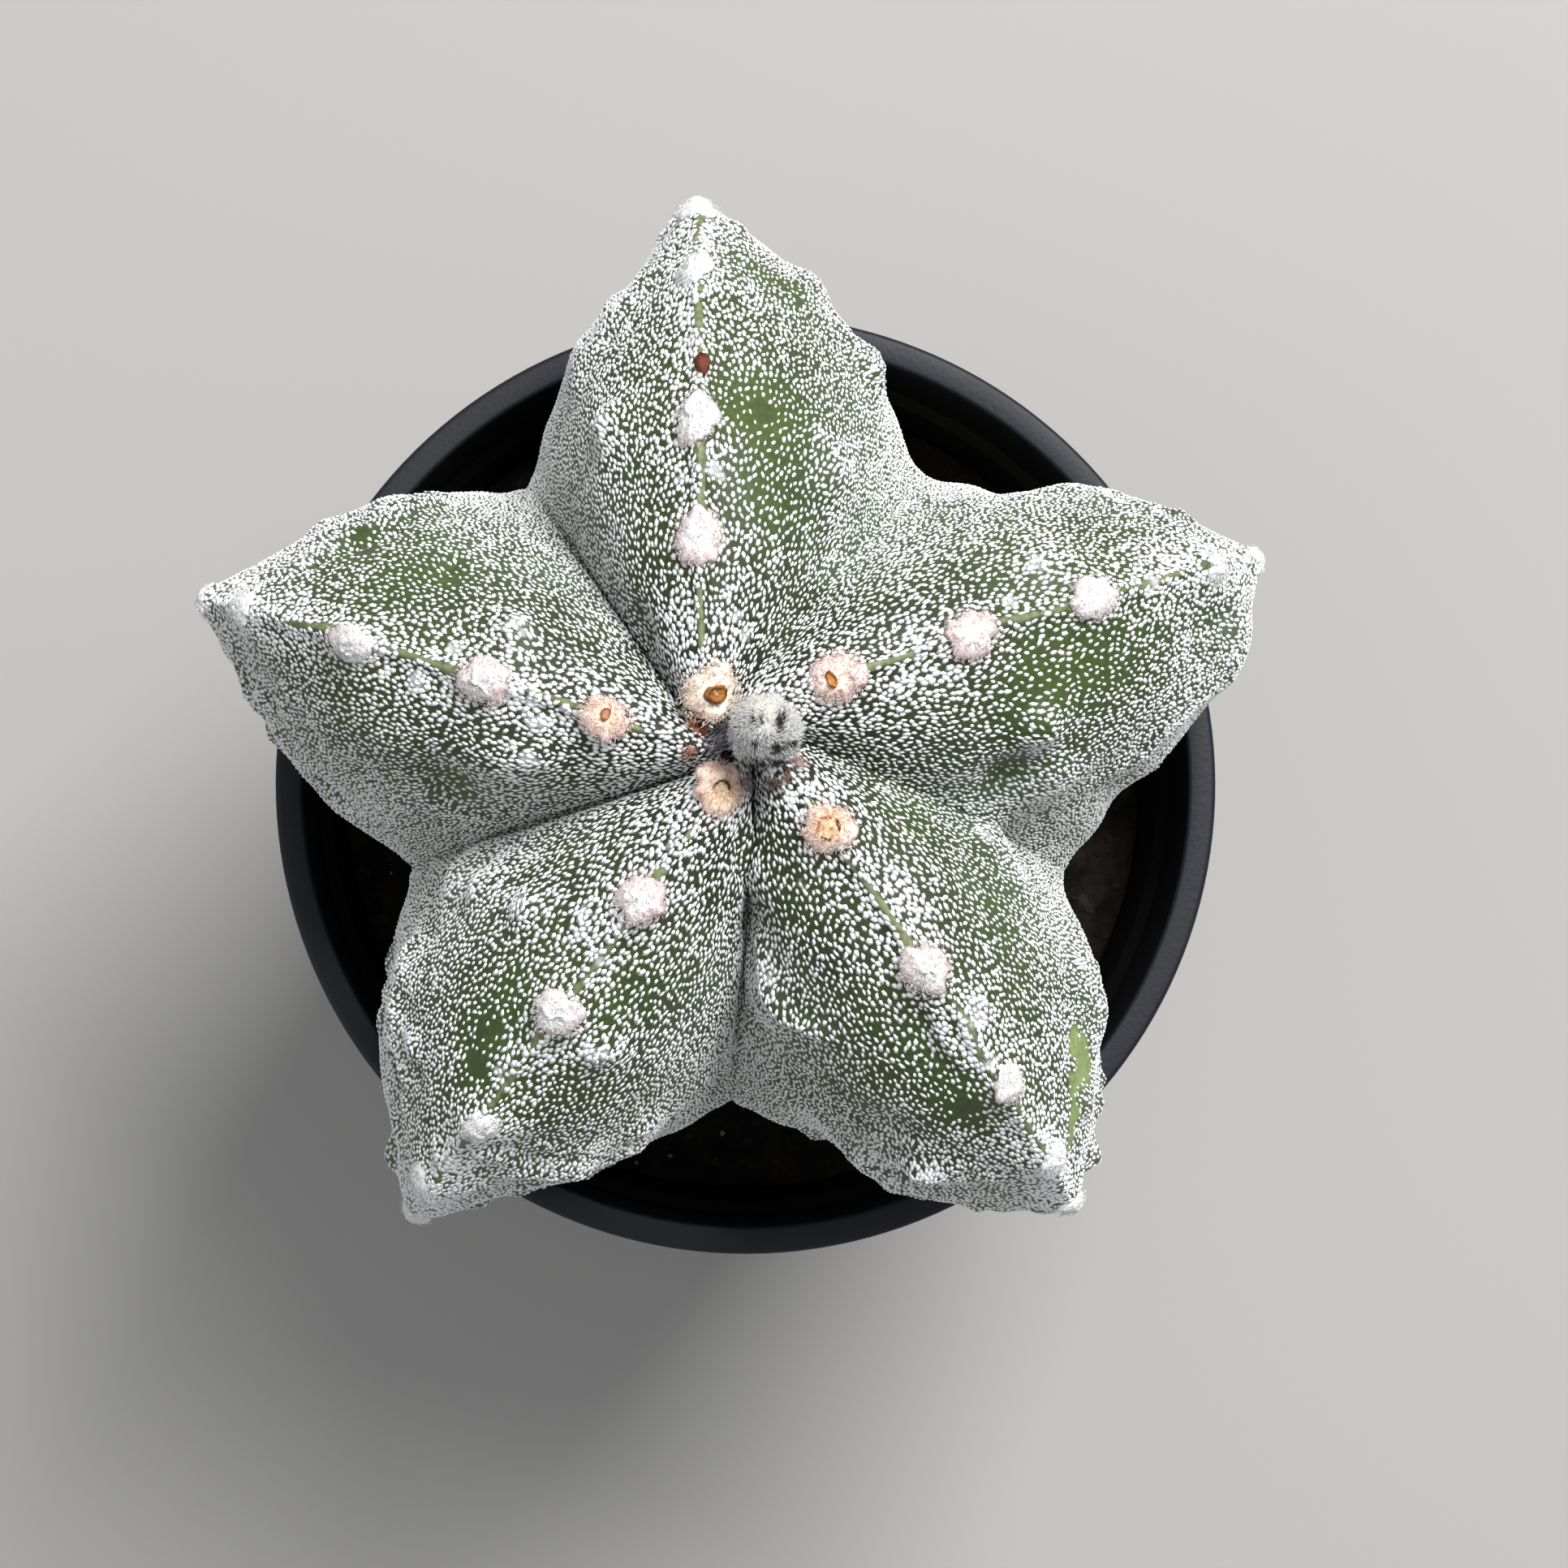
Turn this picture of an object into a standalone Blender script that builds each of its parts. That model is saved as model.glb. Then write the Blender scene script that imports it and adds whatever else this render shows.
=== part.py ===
"""A bishop's cap cactus growing in a round black nursery pot.

Metres, +Z up. The origin is the middle of the pot's underside, and +X and +Y are the right and
the top of the view from straight above. The pot holds the soil, the soil has a plain star-shaped
hole for the foot of the cactus, and a flower bud stands on a woolly pad in the crown.
"""

import math

import bmesh
import bpy
import numpy as np

MM = 0.001
GAP = 0.3 * MM
TURN = 2 * math.pi

# The pot: a moulded nursery pot, 100 mm across its rim.
POT_HEIGHT = 90 * MM
RIM_RADIUS = 50 * MM
LIP_WIDTH = 3 * MM
WALL = 1.0 * MM
FOOT_RADIUS = 37 * MM
SKIRT_DEPTH = 9 * MM
SHOULDER_HEIGHT = 78 * MM
SHOULDER_STEP = 1.1 * MM
FLOOR_THICKNESS = 1.4 * MM
CHANNEL_RISE = 2.6 * MM
CHANNEL_RADII = (11 * MM, 33.5 * MM)
DRAIN_HOLES = 8
DRAIN_HOLE_RADIUS = 3.2 * MM
DRAIN_CIRCLE_RADIUS = 26 * MM
POT_STEPS = 56

# The cactus: five ribs round an axis that stands a little off the middle of the pot.
AXIS = (-2.1 * MM, 1.3 * MM)
SOIL_HEIGHT = 70 * MM
WAIST_HEIGHT = 110 * MM
REACH = 55.2 * MM
FURROW_REACH = 35 * MM
RIDGE_RISE = 43 * MM
FURROW_RISE = 40 * MM
FURROW_DROP = 2 * MM
RIDGE_POWER = 2.3
FURROW_POWER = 1.5
CROWN_PIT_DEPTH = 3 * MM
CROWN_PIT_RADIUS = 4 * MM
TUCK = 27 * MM
FURROW_TUCK = 12 * MM
TUCK_HEIGHT = 24.7 * MM

RIB_AZIMUTHS = (17.9, 89.6, 161.0, 233.3, 304.9)
FURROW_AZIMUTHS = (50.7, 121.5, 194.8, 267.0, 338.2)
RIB_SWIRLS_MM = (2.4, 4.0, 2.8, 1.9, 1.9)
RIB_SHARES = (0.999, 0.992, 0.975, 0.985, 1.000)
FURROW_SHARES = (1.000, 0.992, 0.984, 0.992, 1.016)
RIBS = len(RIB_AZIMUTHS)
# How far each flank stands out at the waist, near its crest and near its furrow. The flanks are
# counted upwards in azimuth from the first rib's crest.
FLANK_BULGES_MM = (
    (0.4, -2.0),
    (0.0, 1.2),
    (-1.4, 0.6),
    (-0.6, 1.0),
    (-1.2, -0.2),
    (-1.2, 0.0),
    (-1.8, -0.6),
    (0.0, -1.8),
    (0.6, 1.4),
    (0.6, -1.6),
)

# The woolly areoles on each rib's crest, as distances from the crown along the crest.
AREOLE_STATIONS_MM = (
    (11.3, 24.3, 37.2, 54.8, 69.3),
    (6.6, 20.6, 32.2, 50.4, 66),
    (13.6, 25.2, 39.6, 55.7, 68.4),
    (6.3, 18.2, 31.2, 46.4, 60),
    (12.5, 28.1, 43.2, 55.6, 69),
)
AREOLE_PITCH_MM = 13
AREOLE_RADIUS = 2.4 * MM
OLD_AREOLE_RADIUS = 1.6 * MM
AREOLE_SHAPE = (1.0, 0.84, 0.78)
AREOLE_SINK = 0.32
CHIN = 0.8 * MM
CHIN_LENGTH = 3.4 * MM

# The bumps and dents of the flanks above the waist: rib place, level, width and height in mm.
LUMPS = (
    (0.1, 0.42, 3.2, 0.8),
    (0.238, 0.738, 3.8, 1.1),
    (0.13, 0.71, 3.0, 0.6),
    (0.66, 0.438, 3.8, 1.3),
    (0.7, 0.728, 3.2, 1.1),
    (0.76, 0.682, 2.8, -0.8),
    (0.84, 0.69, 3.2, 0.9),
    (1.16, 0.7, 3.4, 1.0),
    (1.24, 0.45, 2.6, 1.2),
    (1.25, 0.75, 3.0, 0.7),
    (1.42, 0.242, 2.2, -0.8),
    (1.71, 0.7, 3.4, 1.1),
    (1.788, 0.428, 2.4, -0.8),
    (1.818, 0.622, 2.6, -0.7),
    (1.82, 0.284, 2.4, 0.8),
    (1.84, 0.72, 3.0, 0.9),
    (2.12, 0.84, 3.2, 1.0),
    (2.27, 0.294, 3.2, 0.7),
    (2.328, 0.442, 3.4, -1.4),
    (2.33, 0.92, 3.2, 1.0),
    (2.578, 0.562, 3.6, 1.2),
    (2.638, 0.434, 3.0, 1.1),
    (2.71, 0.68, 3.4, 1.2),
    (2.77, 0.306, 2.8, 1.0),
    (2.79, 0.73, 3.0, 1.0),
    (3.1, 0.636, 3.2, -0.7),
    (3.15, 0.39, 3.0, 0.8),
    (3.18, 0.7, 3.2, 1.2),
    (3.31, 0.72, 3.4, 0.8),
    (3.56, 0.24, 3.0, 0.9),
    (3.593, 0.446, 4.0, 1.4),
    (3.745, 0.778, 3.2, 1.4),
    (3.792, 0.592, 3.0, -0.8),
    (3.85, 0.69, 3.0, 1.1),
    (4.06, 0.39, 3.2, 0.8),
    (4.162, 0.684, 4.2, -0.5),
    (4.202, 0.272, 3.0, 0.6),
    (4.25, 0.78, 3.2, 1.3),
    (4.3, 0.72, 3.2, 1.3),
    (4.455, 0.508, 3.2, 1.4),
    (4.633, 0.42, 2.6, -1.1),
    (4.655, 0.53, 3.4, 1.0),
    (4.76, 0.384, 3.0, 1.2),
    (4.79, 0.71, 3.4, 0.8),
    (4.89, 0.8, 4.5, 2.0),
)

# The bud and the pad that it stands on.
BUD_OFFSET = (2.2 * MM, 0.1 * MM)
BUD_PAD_RADIUS = 2.5 * MM
BUD_PAD_TOP = 153.3 * MM
BUD_PAD_DEPTH = 4.5 * MM
BUD_FOOT_RADIUS = 1.9 * MM
BUD_RADIUS = 3.4 * MM
BUD_HEIGHT = 7.6 * MM
BUD_SCALE_RELIEF = 0.2
BUD_SPIRALS = 5
BUD_TWIST = 2
BUD_COLUMNS = 30
BUD_ROWS = 17

ROOT_RADIUS = 6 * MM
FOOT_DEPTH = 9 * MM
ROOT_DEPTH = 26 * MM
ROOT_TIP = 0.5 * MM

# The soil's crumbs: how many, how far from the middle, how wide and how high.
CRUMBS = 90
CRUMB_REACH_MM = (24, 43)
CRUMB_WIDTH_MM = (1.8, 3.4)
CRUMB_HEIGHT_MM = (0.3, 1.6)
HOLE_CLEARANCE = 0.4 * MM
SOIL_RINGS = (0.0, 0.12, 0.26, 0.40, 0.54, 0.68, 0.82, 1.0)

SEED = 7


def mesh_object(name, mesh, colour, roughness, metallic=0.0):
    """A smooth-shaded object of a mesh, with a plain material of its own."""
    material = bpy.data.materials.new(name)
    material.use_nodes = True
    shader = material.node_tree.nodes["Principled BSDF"]
    shader.inputs["Base Color"].default_value = (*colour, 1.0)
    shader.inputs["Roughness"].default_value = roughness
    shader.inputs["Metallic"].default_value = metallic
    mesh.materials.append(material)
    mesh.shade_smooth()
    mesh.set_sharp_from_angle(angle=math.radians(40))
    made = bpy.data.objects.new(name, mesh)
    bpy.context.scene.collection.objects.link(made)
    return made


def mesh_of_rings(name, rings, top, bottom):
    """A closed mesh of rings of points listed downwards, with a pole point at either end."""
    count = len(rings[0])
    points = [tuple(top)] + [tuple(p) for ring in rings for p in ring] + [tuple(bottom)]
    last = len(points) - 1
    faces = []
    for j in range(count):
        k = (j + 1) % count
        faces.append((0, 1 + j, 1 + k))
        for i in range(len(rings) - 1):
            upper = 1 + i * count
            lower = upper + count
            faces.append((upper + j, lower + j, lower + k, upper + k))
        foot = 1 + (len(rings) - 1) * count
        faces.append((foot + k, foot + j, last))
    mesh = bpy.data.meshes.new(name)
    mesh.from_pydata(points, [], faces)
    mesh.update()
    return mesh


def apply_modifiers(target):
    """Gives an object the mesh that its modifiers make, and drops the modifiers."""
    graph = bpy.context.evaluated_depsgraph_get()
    made = bpy.data.meshes.new_from_object(target.evaluated_get(graph))
    target.modifiers.clear()
    target.data = made


# The cactus's form. A place on it is a rib place q, whole on a crest and half-way in a furrow,
# and a level v: 0 in the crown, 1 at the waist, 2 at the soil.


def smoothstep(x, low, high):
    t = np.clip((x - low) / (high - low), 0, 1)
    return t * t * (3 - 2 * t)


def crest_and_furrow(v):
    """(crest radius, crest height, furrow radius, furrow height) at levels v, for a rib of share 1."""
    angle = np.clip(v, 0, 1) * math.pi / 2
    sine, cosine = np.sin(angle), np.maximum(np.cos(angle), 0)
    crest_r = REACH * sine ** (2 / RIDGE_POWER)
    crest_z = WAIST_HEIGHT + RIDGE_RISE * cosine ** (2 / RIDGE_POWER)
    crest_z = crest_z - CROWN_PIT_DEPTH * np.exp(-((crest_r / CROWN_PIT_RADIUS) ** 2))
    furrow_r = FURROW_REACH * sine ** (2 / FURROW_POWER)
    furrow_z = WAIST_HEIGHT - FURROW_DROP + FURROW_RISE * cosine ** (2 / FURROW_POWER)
    down = np.clip(v - 1, 0, None) * (WAIST_HEIGHT - SOIL_HEIGHT)
    tucked = 1 - np.exp(-((down / TUCK_HEIGHT) ** 1.5))
    crest_z = crest_z - down
    furrow_z = furrow_z - down + FURROW_DROP * np.clip(v - 1, 0, 1)
    return crest_r - TUCK * tucked, crest_z, furrow_r - FURROW_TUCK * tucked, furrow_z


def rib_section(across, v):
    """1 on the crest and 0 in the furrow. Rounded like a petal near the crown; at the waist a
    gable with a blunt ridge, a dip and then a flare into the furrow."""
    rounded = np.sqrt(across**2 + 0.02**2) - 0.02
    petal = 0.07 * np.exp(-rounded / 0.06) + 0.93 * np.cos(across * math.pi / 2) ** 0.85
    slope = 1 - 1.15 * (np.hypot(across, 0.05) - 0.05)
    gable = (slope + np.hypot(slope, 0.06)) / 2 - 0.035 * np.exp(-(((across - 0.67) / 0.09) ** 2))
    waist = smoothstep(v, 0.2, 0.95)
    return petal * (1 - waist) + gable * waist


def lumps():
    """The bumps and dents of the flanks: (rib place, level, width, height)."""
    draw = np.random.default_rng(SEED)
    found = [(q % RIBS, v, wide * MM, high * MM) for q, v, wide, high in LUMPS]
    for rib in range(RIBS):
        for side in (-1, 1):
            for level in (0.86, 0.97, 1.12, 1.32, 1.55):
                across = draw.uniform(0.14, 0.36)
                wide = draw.uniform(2.8, 4.6) * MM
                high = draw.uniform(-1.2, 1.2) * MM
                place = (rib + side * across) % RIBS
                found.append((place, level + draw.uniform(-0.05, 0.05), wide, high))
    return found


def smooth_form(q, v):
    """Points (x, y, z) of the cactus before its lumps, in its own frame round its own axis."""
    q = np.asarray(q, float) % RIBS
    v = np.asarray(v, float)
    crest = np.round(q).astype(int) % RIBS
    furrow = np.floor(q).astype(int) % RIBS
    across = 2 * np.abs((q - np.round(q)))
    crest_r, crest_z, furrow_r, furrow_z = crest_and_furrow(v)
    crest_r = crest_r * np.take(RIB_SHARES, crest)
    furrow_r = furrow_r * np.take(FURROW_SHARES, furrow)
    share = rib_section(across, v)
    radius = furrow_r + (crest_r - furrow_r) * share
    bulges = np.take(FLANK_BULGES_MM, np.floor(2 * q).astype(int) % (2 * RIBS), axis=0) * MM
    bulge = bulges[..., 0] * np.exp(-(((across - 0.25) / 0.13) ** 2))
    bulge = bulge + bulges[..., 1] * np.exp(-(((across - 0.62) / 0.17) ** 2))
    radius = radius + bulge * smoothstep(v, 0.3, 1.0)
    height = furrow_z + (crest_z - furrow_z) * share
    knots = [x for pair in zip(RIB_AZIMUTHS, FURROW_AZIMUTHS) for x in pair]
    knots.append(RIB_AZIMUTHS[0] + 360)
    azimuth = np.radians(np.interp(q, np.arange(len(knots)) / 2, knots))
    swirls = (*RIB_SWIRLS_MM, RIB_SWIRLS_MM[0])
    azimuth = azimuth + np.interp(q, range(len(swirls)), swirls) * MM / (radius + 1 * MM)
    return np.stack([radius * np.cos(azimuth), radius * np.sin(azimuth), height], -1)


def cactus_surface(q, v):
    """Points of the cactus's skin in the object's frame, with chins at the areoles and lumps."""
    q, v = np.broadcast_arrays(np.asarray(q, float), np.asarray(v, float))
    step = 0.01
    points = smooth_form(q, v)
    along = smooth_form(q, v + step) - smooth_form(q, v - step)
    sideways = smooth_form(q + step, v) - smooth_form(q - step, v)
    normal = np.cross(along, sideways)
    normal /= np.maximum(np.linalg.norm(normal, axis=-1, keepdims=True), 1e-12)
    fade = smoothstep(v, 0.05, 0.2) * (1 - smoothstep(v, 1.75, 2.0))
    height = np.zeros(q.shape)
    for centre, wide, high in RAISED:
        far = np.linalg.norm(points - centre, axis=-1)
        height += high * np.exp(-((far / wide) ** 2)) * fade
    points = points + normal * height[..., None]
    return points + np.array([AXIS[0], AXIS[1], 0])


def areole_levels():
    """The level v of every areole on each rib: the named ones, then one each pitch to the soil."""
    found = []
    for rib in range(RIBS):
        levels = np.linspace(0, 1.84, 800)
        crest = smooth_form(rib, levels)
        steps = np.linalg.norm(np.diff(crest, axis=0), axis=1)
        distance = np.concatenate([[0], np.cumsum(steps)]) / MM
        stations = list(AREOLE_STATIONS_MM[rib])
        while stations[-1] + AREOLE_PITCH_MM < distance[-1]:
            stations.append(stations[-1] + AREOLE_PITCH_MM)
        found.append([float(x) for x in np.interp(stations, distance, levels)])
    return found


AREOLE_LEVELS = areole_levels()


def raised_places():
    """Every lump, dent and chin: (centre, width, height), a chin being the rise under an areole."""
    found = [(smooth_form(q, v), wide, high) for q, v, wide, high in lumps()]
    for rib in range(RIBS):
        for level in AREOLE_LEVELS[rib]:
            found.append((smooth_form(rib, level), CHIN_LENGTH, CHIN))
    return found


RAISED = raised_places()


def areole_frames():
    """(centre, axes, radius) of every areole. The axes are downwards along the crest, across it
    and outwards. The lower areoles are older, with worn wool."""
    frames = []
    for rib in range(RIBS):
        for level in AREOLE_LEVELS[rib]:
            centre = cactus_surface(rib, level)
            along = cactus_surface(rib, level + 0.01) - cactus_surface(rib, level - 0.01)
            sideways = cactus_surface(rib + 0.03, level) - cactus_surface(rib - 0.03, level)
            normal = np.cross(along, sideways)
            normal /= np.linalg.norm(normal)
            downwards = np.cross(sideways, normal)
            downwards /= np.linalg.norm(downwards)
            age = float(smoothstep(level, 0.8, 1.6))
            radius = AREOLE_RADIUS + (OLD_AREOLE_RADIUS - AREOLE_RADIUS) * age
            axes = np.column_stack([downwards, np.cross(normal, downwards), normal])
            frames.append((centre - normal * AREOLE_SINK * radius, axes, radius))
    return frames


def rib_places():
    """The columns of the cactus's mesh: closer together near each crest."""
    half = np.array([0, 0.05, 0.13, 0.24, 0.38, 0.52, 0.66, 0.82, 1.0]) / 2
    one_rib = np.concatenate([-half[:0:-1], half[:-1]])
    return np.concatenate([one_rib + rib for rib in range(RIBS)])


def foot_ring(places, grow=0.0):
    """The star outline of the foot at the soil, widened by grow."""
    ring = cactus_surface(places, np.full(len(places), 2.0))
    out = ring[:, :2] - np.array(AXIS)
    out /= np.linalg.norm(out, axis=1, keepdims=True)
    ring[:, :2] += out * grow
    return ring


def shrunk(ring, share, height):
    """A ring drawn in towards the cactus's axis and set at a height."""
    centre = np.array(AXIS)
    flat = centre + (ring[:, :2] - centre) * share
    return np.column_stack([flat, np.full(len(ring), height)])


def round_ring(angles, radius, height, centre=(0.0, 0.0)):
    """A level circle's points at given angles."""
    x = centre[0] + radius * np.cos(angles)
    y = centre[1] + radius * np.sin(angles)
    return np.column_stack([x, y, np.full(len(angles), height)])


def tuft(name, centre, axes, radius):
    """One woolly areole: an egg lying along the crest, sunk a little into it."""
    made = bmesh.new()
    bmesh.ops.create_uvsphere(made, u_segments=8, v_segments=5, radius=radius)
    bmesh.ops.scale(made, vec=AREOLE_SHAPE, verts=made.verts)
    mesh = bpy.data.meshes.new(name)
    made.to_mesh(mesh)
    made.free()
    points = np.array([v.co for v in mesh.vertices]) @ axes.T + centre
    mesh.vertices.foreach_set("co", points.astype(np.float32).ravel())
    return bpy.data.objects.new(name, mesh)


def bud_pad():
    """The woolly pad in the crown, flat on top, that carries the bud."""
    made = bmesh.new()
    bmesh.ops.create_cone(
        made,
        cap_ends=True,
        segments=12,
        radius1=BUD_PAD_RADIUS,
        radius2=BUD_PAD_RADIUS - 0.3 * MM,
        depth=BUD_PAD_DEPTH,
    )
    middle = (
        AXIS[0] + BUD_OFFSET[0],
        AXIS[1] + BUD_OFFSET[1],
        BUD_PAD_TOP - BUD_PAD_DEPTH / 2,
    )
    bmesh.ops.translate(made, vec=middle, verts=made.verts)
    mesh = bpy.data.meshes.new("bud_pad")
    made.to_mesh(mesh)
    made.free()
    return bpy.data.objects.new("bud_pad", mesh)


def build_cactus():
    """The ribbed body, its buried foot and root, with every areole fused on."""
    places = rib_places()
    upper = np.array([2.5, 6, 10, 15, 20, 26, 32, 38, 44, 50, 56, 62, 68, 74, 80, 85]) / 90
    lower = 1 + np.array([0, 3, 6, 9, 12, 16, 20, 24, 28, 32, 36, 40]) / 40
    rings = [cactus_surface(places, np.full(len(places), v)) for v in (*upper, *lower)]
    foot = rings[-1]
    bottom = SOIL_HEIGHT - FOOT_DEPTH
    rings.append(shrunk(foot, 0.97, SOIL_HEIGHT - 0.6 * FOOT_DEPTH))
    rings.append(shrunk(foot, 0.82, bottom))
    angles = np.arctan2(foot[:, 1] - AXIS[1], foot[:, 0] - AXIS[0])
    rings.append(round_ring(angles, ROOT_RADIUS, bottom, AXIS))
    rings.append(round_ring(angles, 0.6 * ROOT_RADIUS, bottom - ROOT_DEPTH, AXIS))
    pit = float(crest_and_furrow(np.array(0.0))[1]) - 0.3 * MM
    tip = bottom - ROOT_DEPTH - ROOT_TIP
    mesh = mesh_of_rings("cactus_body", rings, (*AXIS, pit), (*AXIS, tip))
    body = mesh_object("cactus_body", mesh, (0.20, 0.26, 0.17), 0.6)
    pads = bpy.data.collections.new("areole_pads")
    bpy.context.scene.collection.children.link(pads)
    for index, (centre, axes, radius) in enumerate(areole_frames()):
        pads.objects.link(tuft(f"areole_{index}", centre, axes, radius))
    pads.objects.link(bud_pad())
    fuse = body.modifiers.new("fuse_areoles", "BOOLEAN")
    fuse.operation = "UNION"
    fuse.operand_type = "COLLECTION"
    fuse.collection = pads
    fuse.solver = "EXACT"
    bpy.context.view_layer.update()
    apply_modifiers(body)
    for pad in list(pads.objects):
        bpy.data.objects.remove(pad)
    bpy.data.collections.remove(pads)
    return body


def build_bud():
    """A closed flower bud: an egg with scales where left and right spirals cross."""
    foot = BUD_PAD_TOP + GAP
    centre = (AXIS[0] + BUD_OFFSET[0], AXIS[1] + BUD_OFFSET[1])
    rings = []
    angles = np.arange(BUD_COLUMNS) * TURN / BUD_COLUMNS
    for level in np.linspace(0.0, 0.97, BUD_ROWS):
        swell = math.sin(math.pi * (0.18 + 0.80 * level)) ** 0.62
        radius = BUD_RADIUS * swell * (1 - 0.10 * level)
        left = np.abs((BUD_SPIRALS * angles / TURN + BUD_TWIST * level) % 1 - 0.5) * 2
        right = np.abs((BUD_SPIRALS * angles / TURN - BUD_TWIST * level) % 1 - 0.5) * 2
        relief = BUD_SCALE_RELIEF * (left * right - 0.25) * math.sin(math.pi * level)
        radii = radius * (1 + relief)
        if level == 0:
            radii = np.full(BUD_COLUMNS, BUD_FOOT_RADIUS)
        rings.append(round_ring(angles, radii, foot + BUD_HEIGHT * level, centre))
    rings.reverse()
    mesh = mesh_of_rings("flower_bud", rings, (*centre, foot + BUD_HEIGHT), (*centre, foot))
    return mesh_object("flower_bud", mesh, (0.45, 0.42, 0.38), 0.9)


def inner_wall(height):
    """The radius of the pot's inner wall below its shoulder."""
    top = RIM_RADIUS - LIP_WIDTH - 0.7 * MM - SHOULDER_STEP
    foot = FOOT_RADIUS - WALL
    return foot + (top - foot) * height / SHOULDER_HEIGHT


def pot_profile():
    """The pot's half section, from the middle of its floor up the inside and down the outside."""
    inside = RIM_RADIUS - LIP_WIDTH
    under_lip = POT_HEIGHT - 1.2 * MM
    shoulder = inside - 0.7 * MM
    skirt_foot = POT_HEIGHT - SKIRT_DEPTH
    channel_in, channel_out = CHANNEL_RADII
    raised = CHANNEL_RISE + FLOOR_THICKNESS
    shoulder_top = SHOULDER_HEIGHT + 1.2 * MM
    return [
        (0, FLOOR_THICKNESS),
        (channel_in - 1 * MM, FLOOR_THICKNESS),
        (channel_in + 1 * MM, raised),
        (inner_wall(raised) - 1 * MM, raised),
        (inner_wall(raised + 1 * MM), raised + 1 * MM),
        (inner_wall(SHOULDER_HEIGHT), SHOULDER_HEIGHT),
        (shoulder, shoulder_top),
        (inside, POT_HEIGHT - 0.5 * MM),
        (inside + 0.5 * MM, POT_HEIGHT),
        (RIM_RADIUS - 0.6 * MM, POT_HEIGHT),
        (RIM_RADIUS, POT_HEIGHT - 0.6 * MM),
        (RIM_RADIUS - 0.4 * MM, skirt_foot),
        (RIM_RADIUS - 0.4 * MM - WALL, skirt_foot),
        (RIM_RADIUS - WALL, under_lip),
        (inside + WALL, under_lip),
        (shoulder + WALL, shoulder_top - 0.4 * MM),
        (inner_wall(SHOULDER_HEIGHT) + WALL, SHOULDER_HEIGHT - 0.4 * MM),
        (FOOT_RADIUS, 0.6 * MM),
        (FOOT_RADIUS - 0.5 * MM, 0),
        (channel_out + 0.6 * MM, 0),
        (channel_out - 0.6 * MM, CHANNEL_RISE),
        (channel_in + 1 * MM, CHANNEL_RISE),
        (channel_in - 1 * MM, 0),
        (0, 0),
    ]


def build_pot():
    """The pot: a turned shell with a ring of drain holes through its raised channel."""
    profile = pot_profile()
    mesh = bpy.data.meshes.new("pot")
    points = [(radius, 0, height) for radius, height in profile]
    edges = [(i, i + 1) for i in range(len(points) - 1)]
    mesh.from_pydata(points, edges, [])
    pot = mesh_object("pot", mesh, (0.02, 0.021, 0.025), 0.45)
    turn = pot.modifiers.new("turn", "SCREW")
    turn.axis = "Z"
    turn.steps = POT_STEPS
    turn.render_steps = POT_STEPS
    turn.use_merge_vertices = True
    turn.merge_threshold = 0.00001
    turn.use_normal_calculate = True
    cutter_mesh = bpy.data.meshes.new("drain_cutter")
    cutters = bmesh.new()
    for index in range(DRAIN_HOLES):
        angle = (index + 0.5) * TURN / DRAIN_HOLES
        made = bmesh.ops.create_cone(
            cutters,
            cap_ends=True,
            segments=14,
            radius1=DRAIN_HOLE_RADIUS,
            radius2=DRAIN_HOLE_RADIUS,
            depth=6 * MM,
        )
        place = (
            DRAIN_CIRCLE_RADIUS * math.cos(angle),
            DRAIN_CIRCLE_RADIUS * math.sin(angle),
            CHANNEL_RISE,
        )
        bmesh.ops.translate(cutters, vec=place, verts=made["verts"])
    cutters.to_mesh(cutter_mesh)
    cutters.free()
    cutter = bpy.data.objects.new("drain_cutter", cutter_mesh)
    cutter.hide_render = True
    cutter.display_type = "WIRE"
    bpy.context.scene.collection.objects.link(cutter)
    drill = pot.modifiers.new("drill", "BOOLEAN")
    drill.operation = "DIFFERENCE"
    drill.object = cutter
    drill.solver = "EXACT"
    return pot


def soil_relief(x, y):
    """The height of crumbs and grit over the soil's level, from seeded round bumps."""
    draw = np.random.default_rng(SEED + 1)
    height = np.zeros(np.shape(x))
    for _ in range(CRUMBS):
        angle = draw.uniform(0, TURN)
        far = draw.uniform(*CRUMB_REACH_MM) * MM
        wide = draw.uniform(*CRUMB_WIDTH_MM) * MM
        high = draw.uniform(*CRUMB_HEIGHT_MM) * MM
        gone = (x - far * math.cos(angle)) ** 2 + (y - far * math.sin(angle)) ** 2
        height = np.maximum(height, high * np.exp(-gone / wide**2))
    return height


def soil_hole(hole, bottom):
    """Rings up the hole: round for the root, then the star of the cactus's foot."""
    turned = np.arctan2(hole[:, 1] - AXIS[1], hole[:, 0] - AXIS[0])
    tip = bottom - ROOT_DEPTH - ROOT_TIP - GAP
    return [
        round_ring(turned, ROOT_RADIUS + GAP, tip, AXIS),
        round_ring(turned, ROOT_RADIUS + GAP, bottom, AXIS),
        shrunk(hole, 0.90, bottom),
        shrunk(hole, 1.0, SOIL_HEIGHT - 0.6 * FOOT_DEPTH),
    ]


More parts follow.
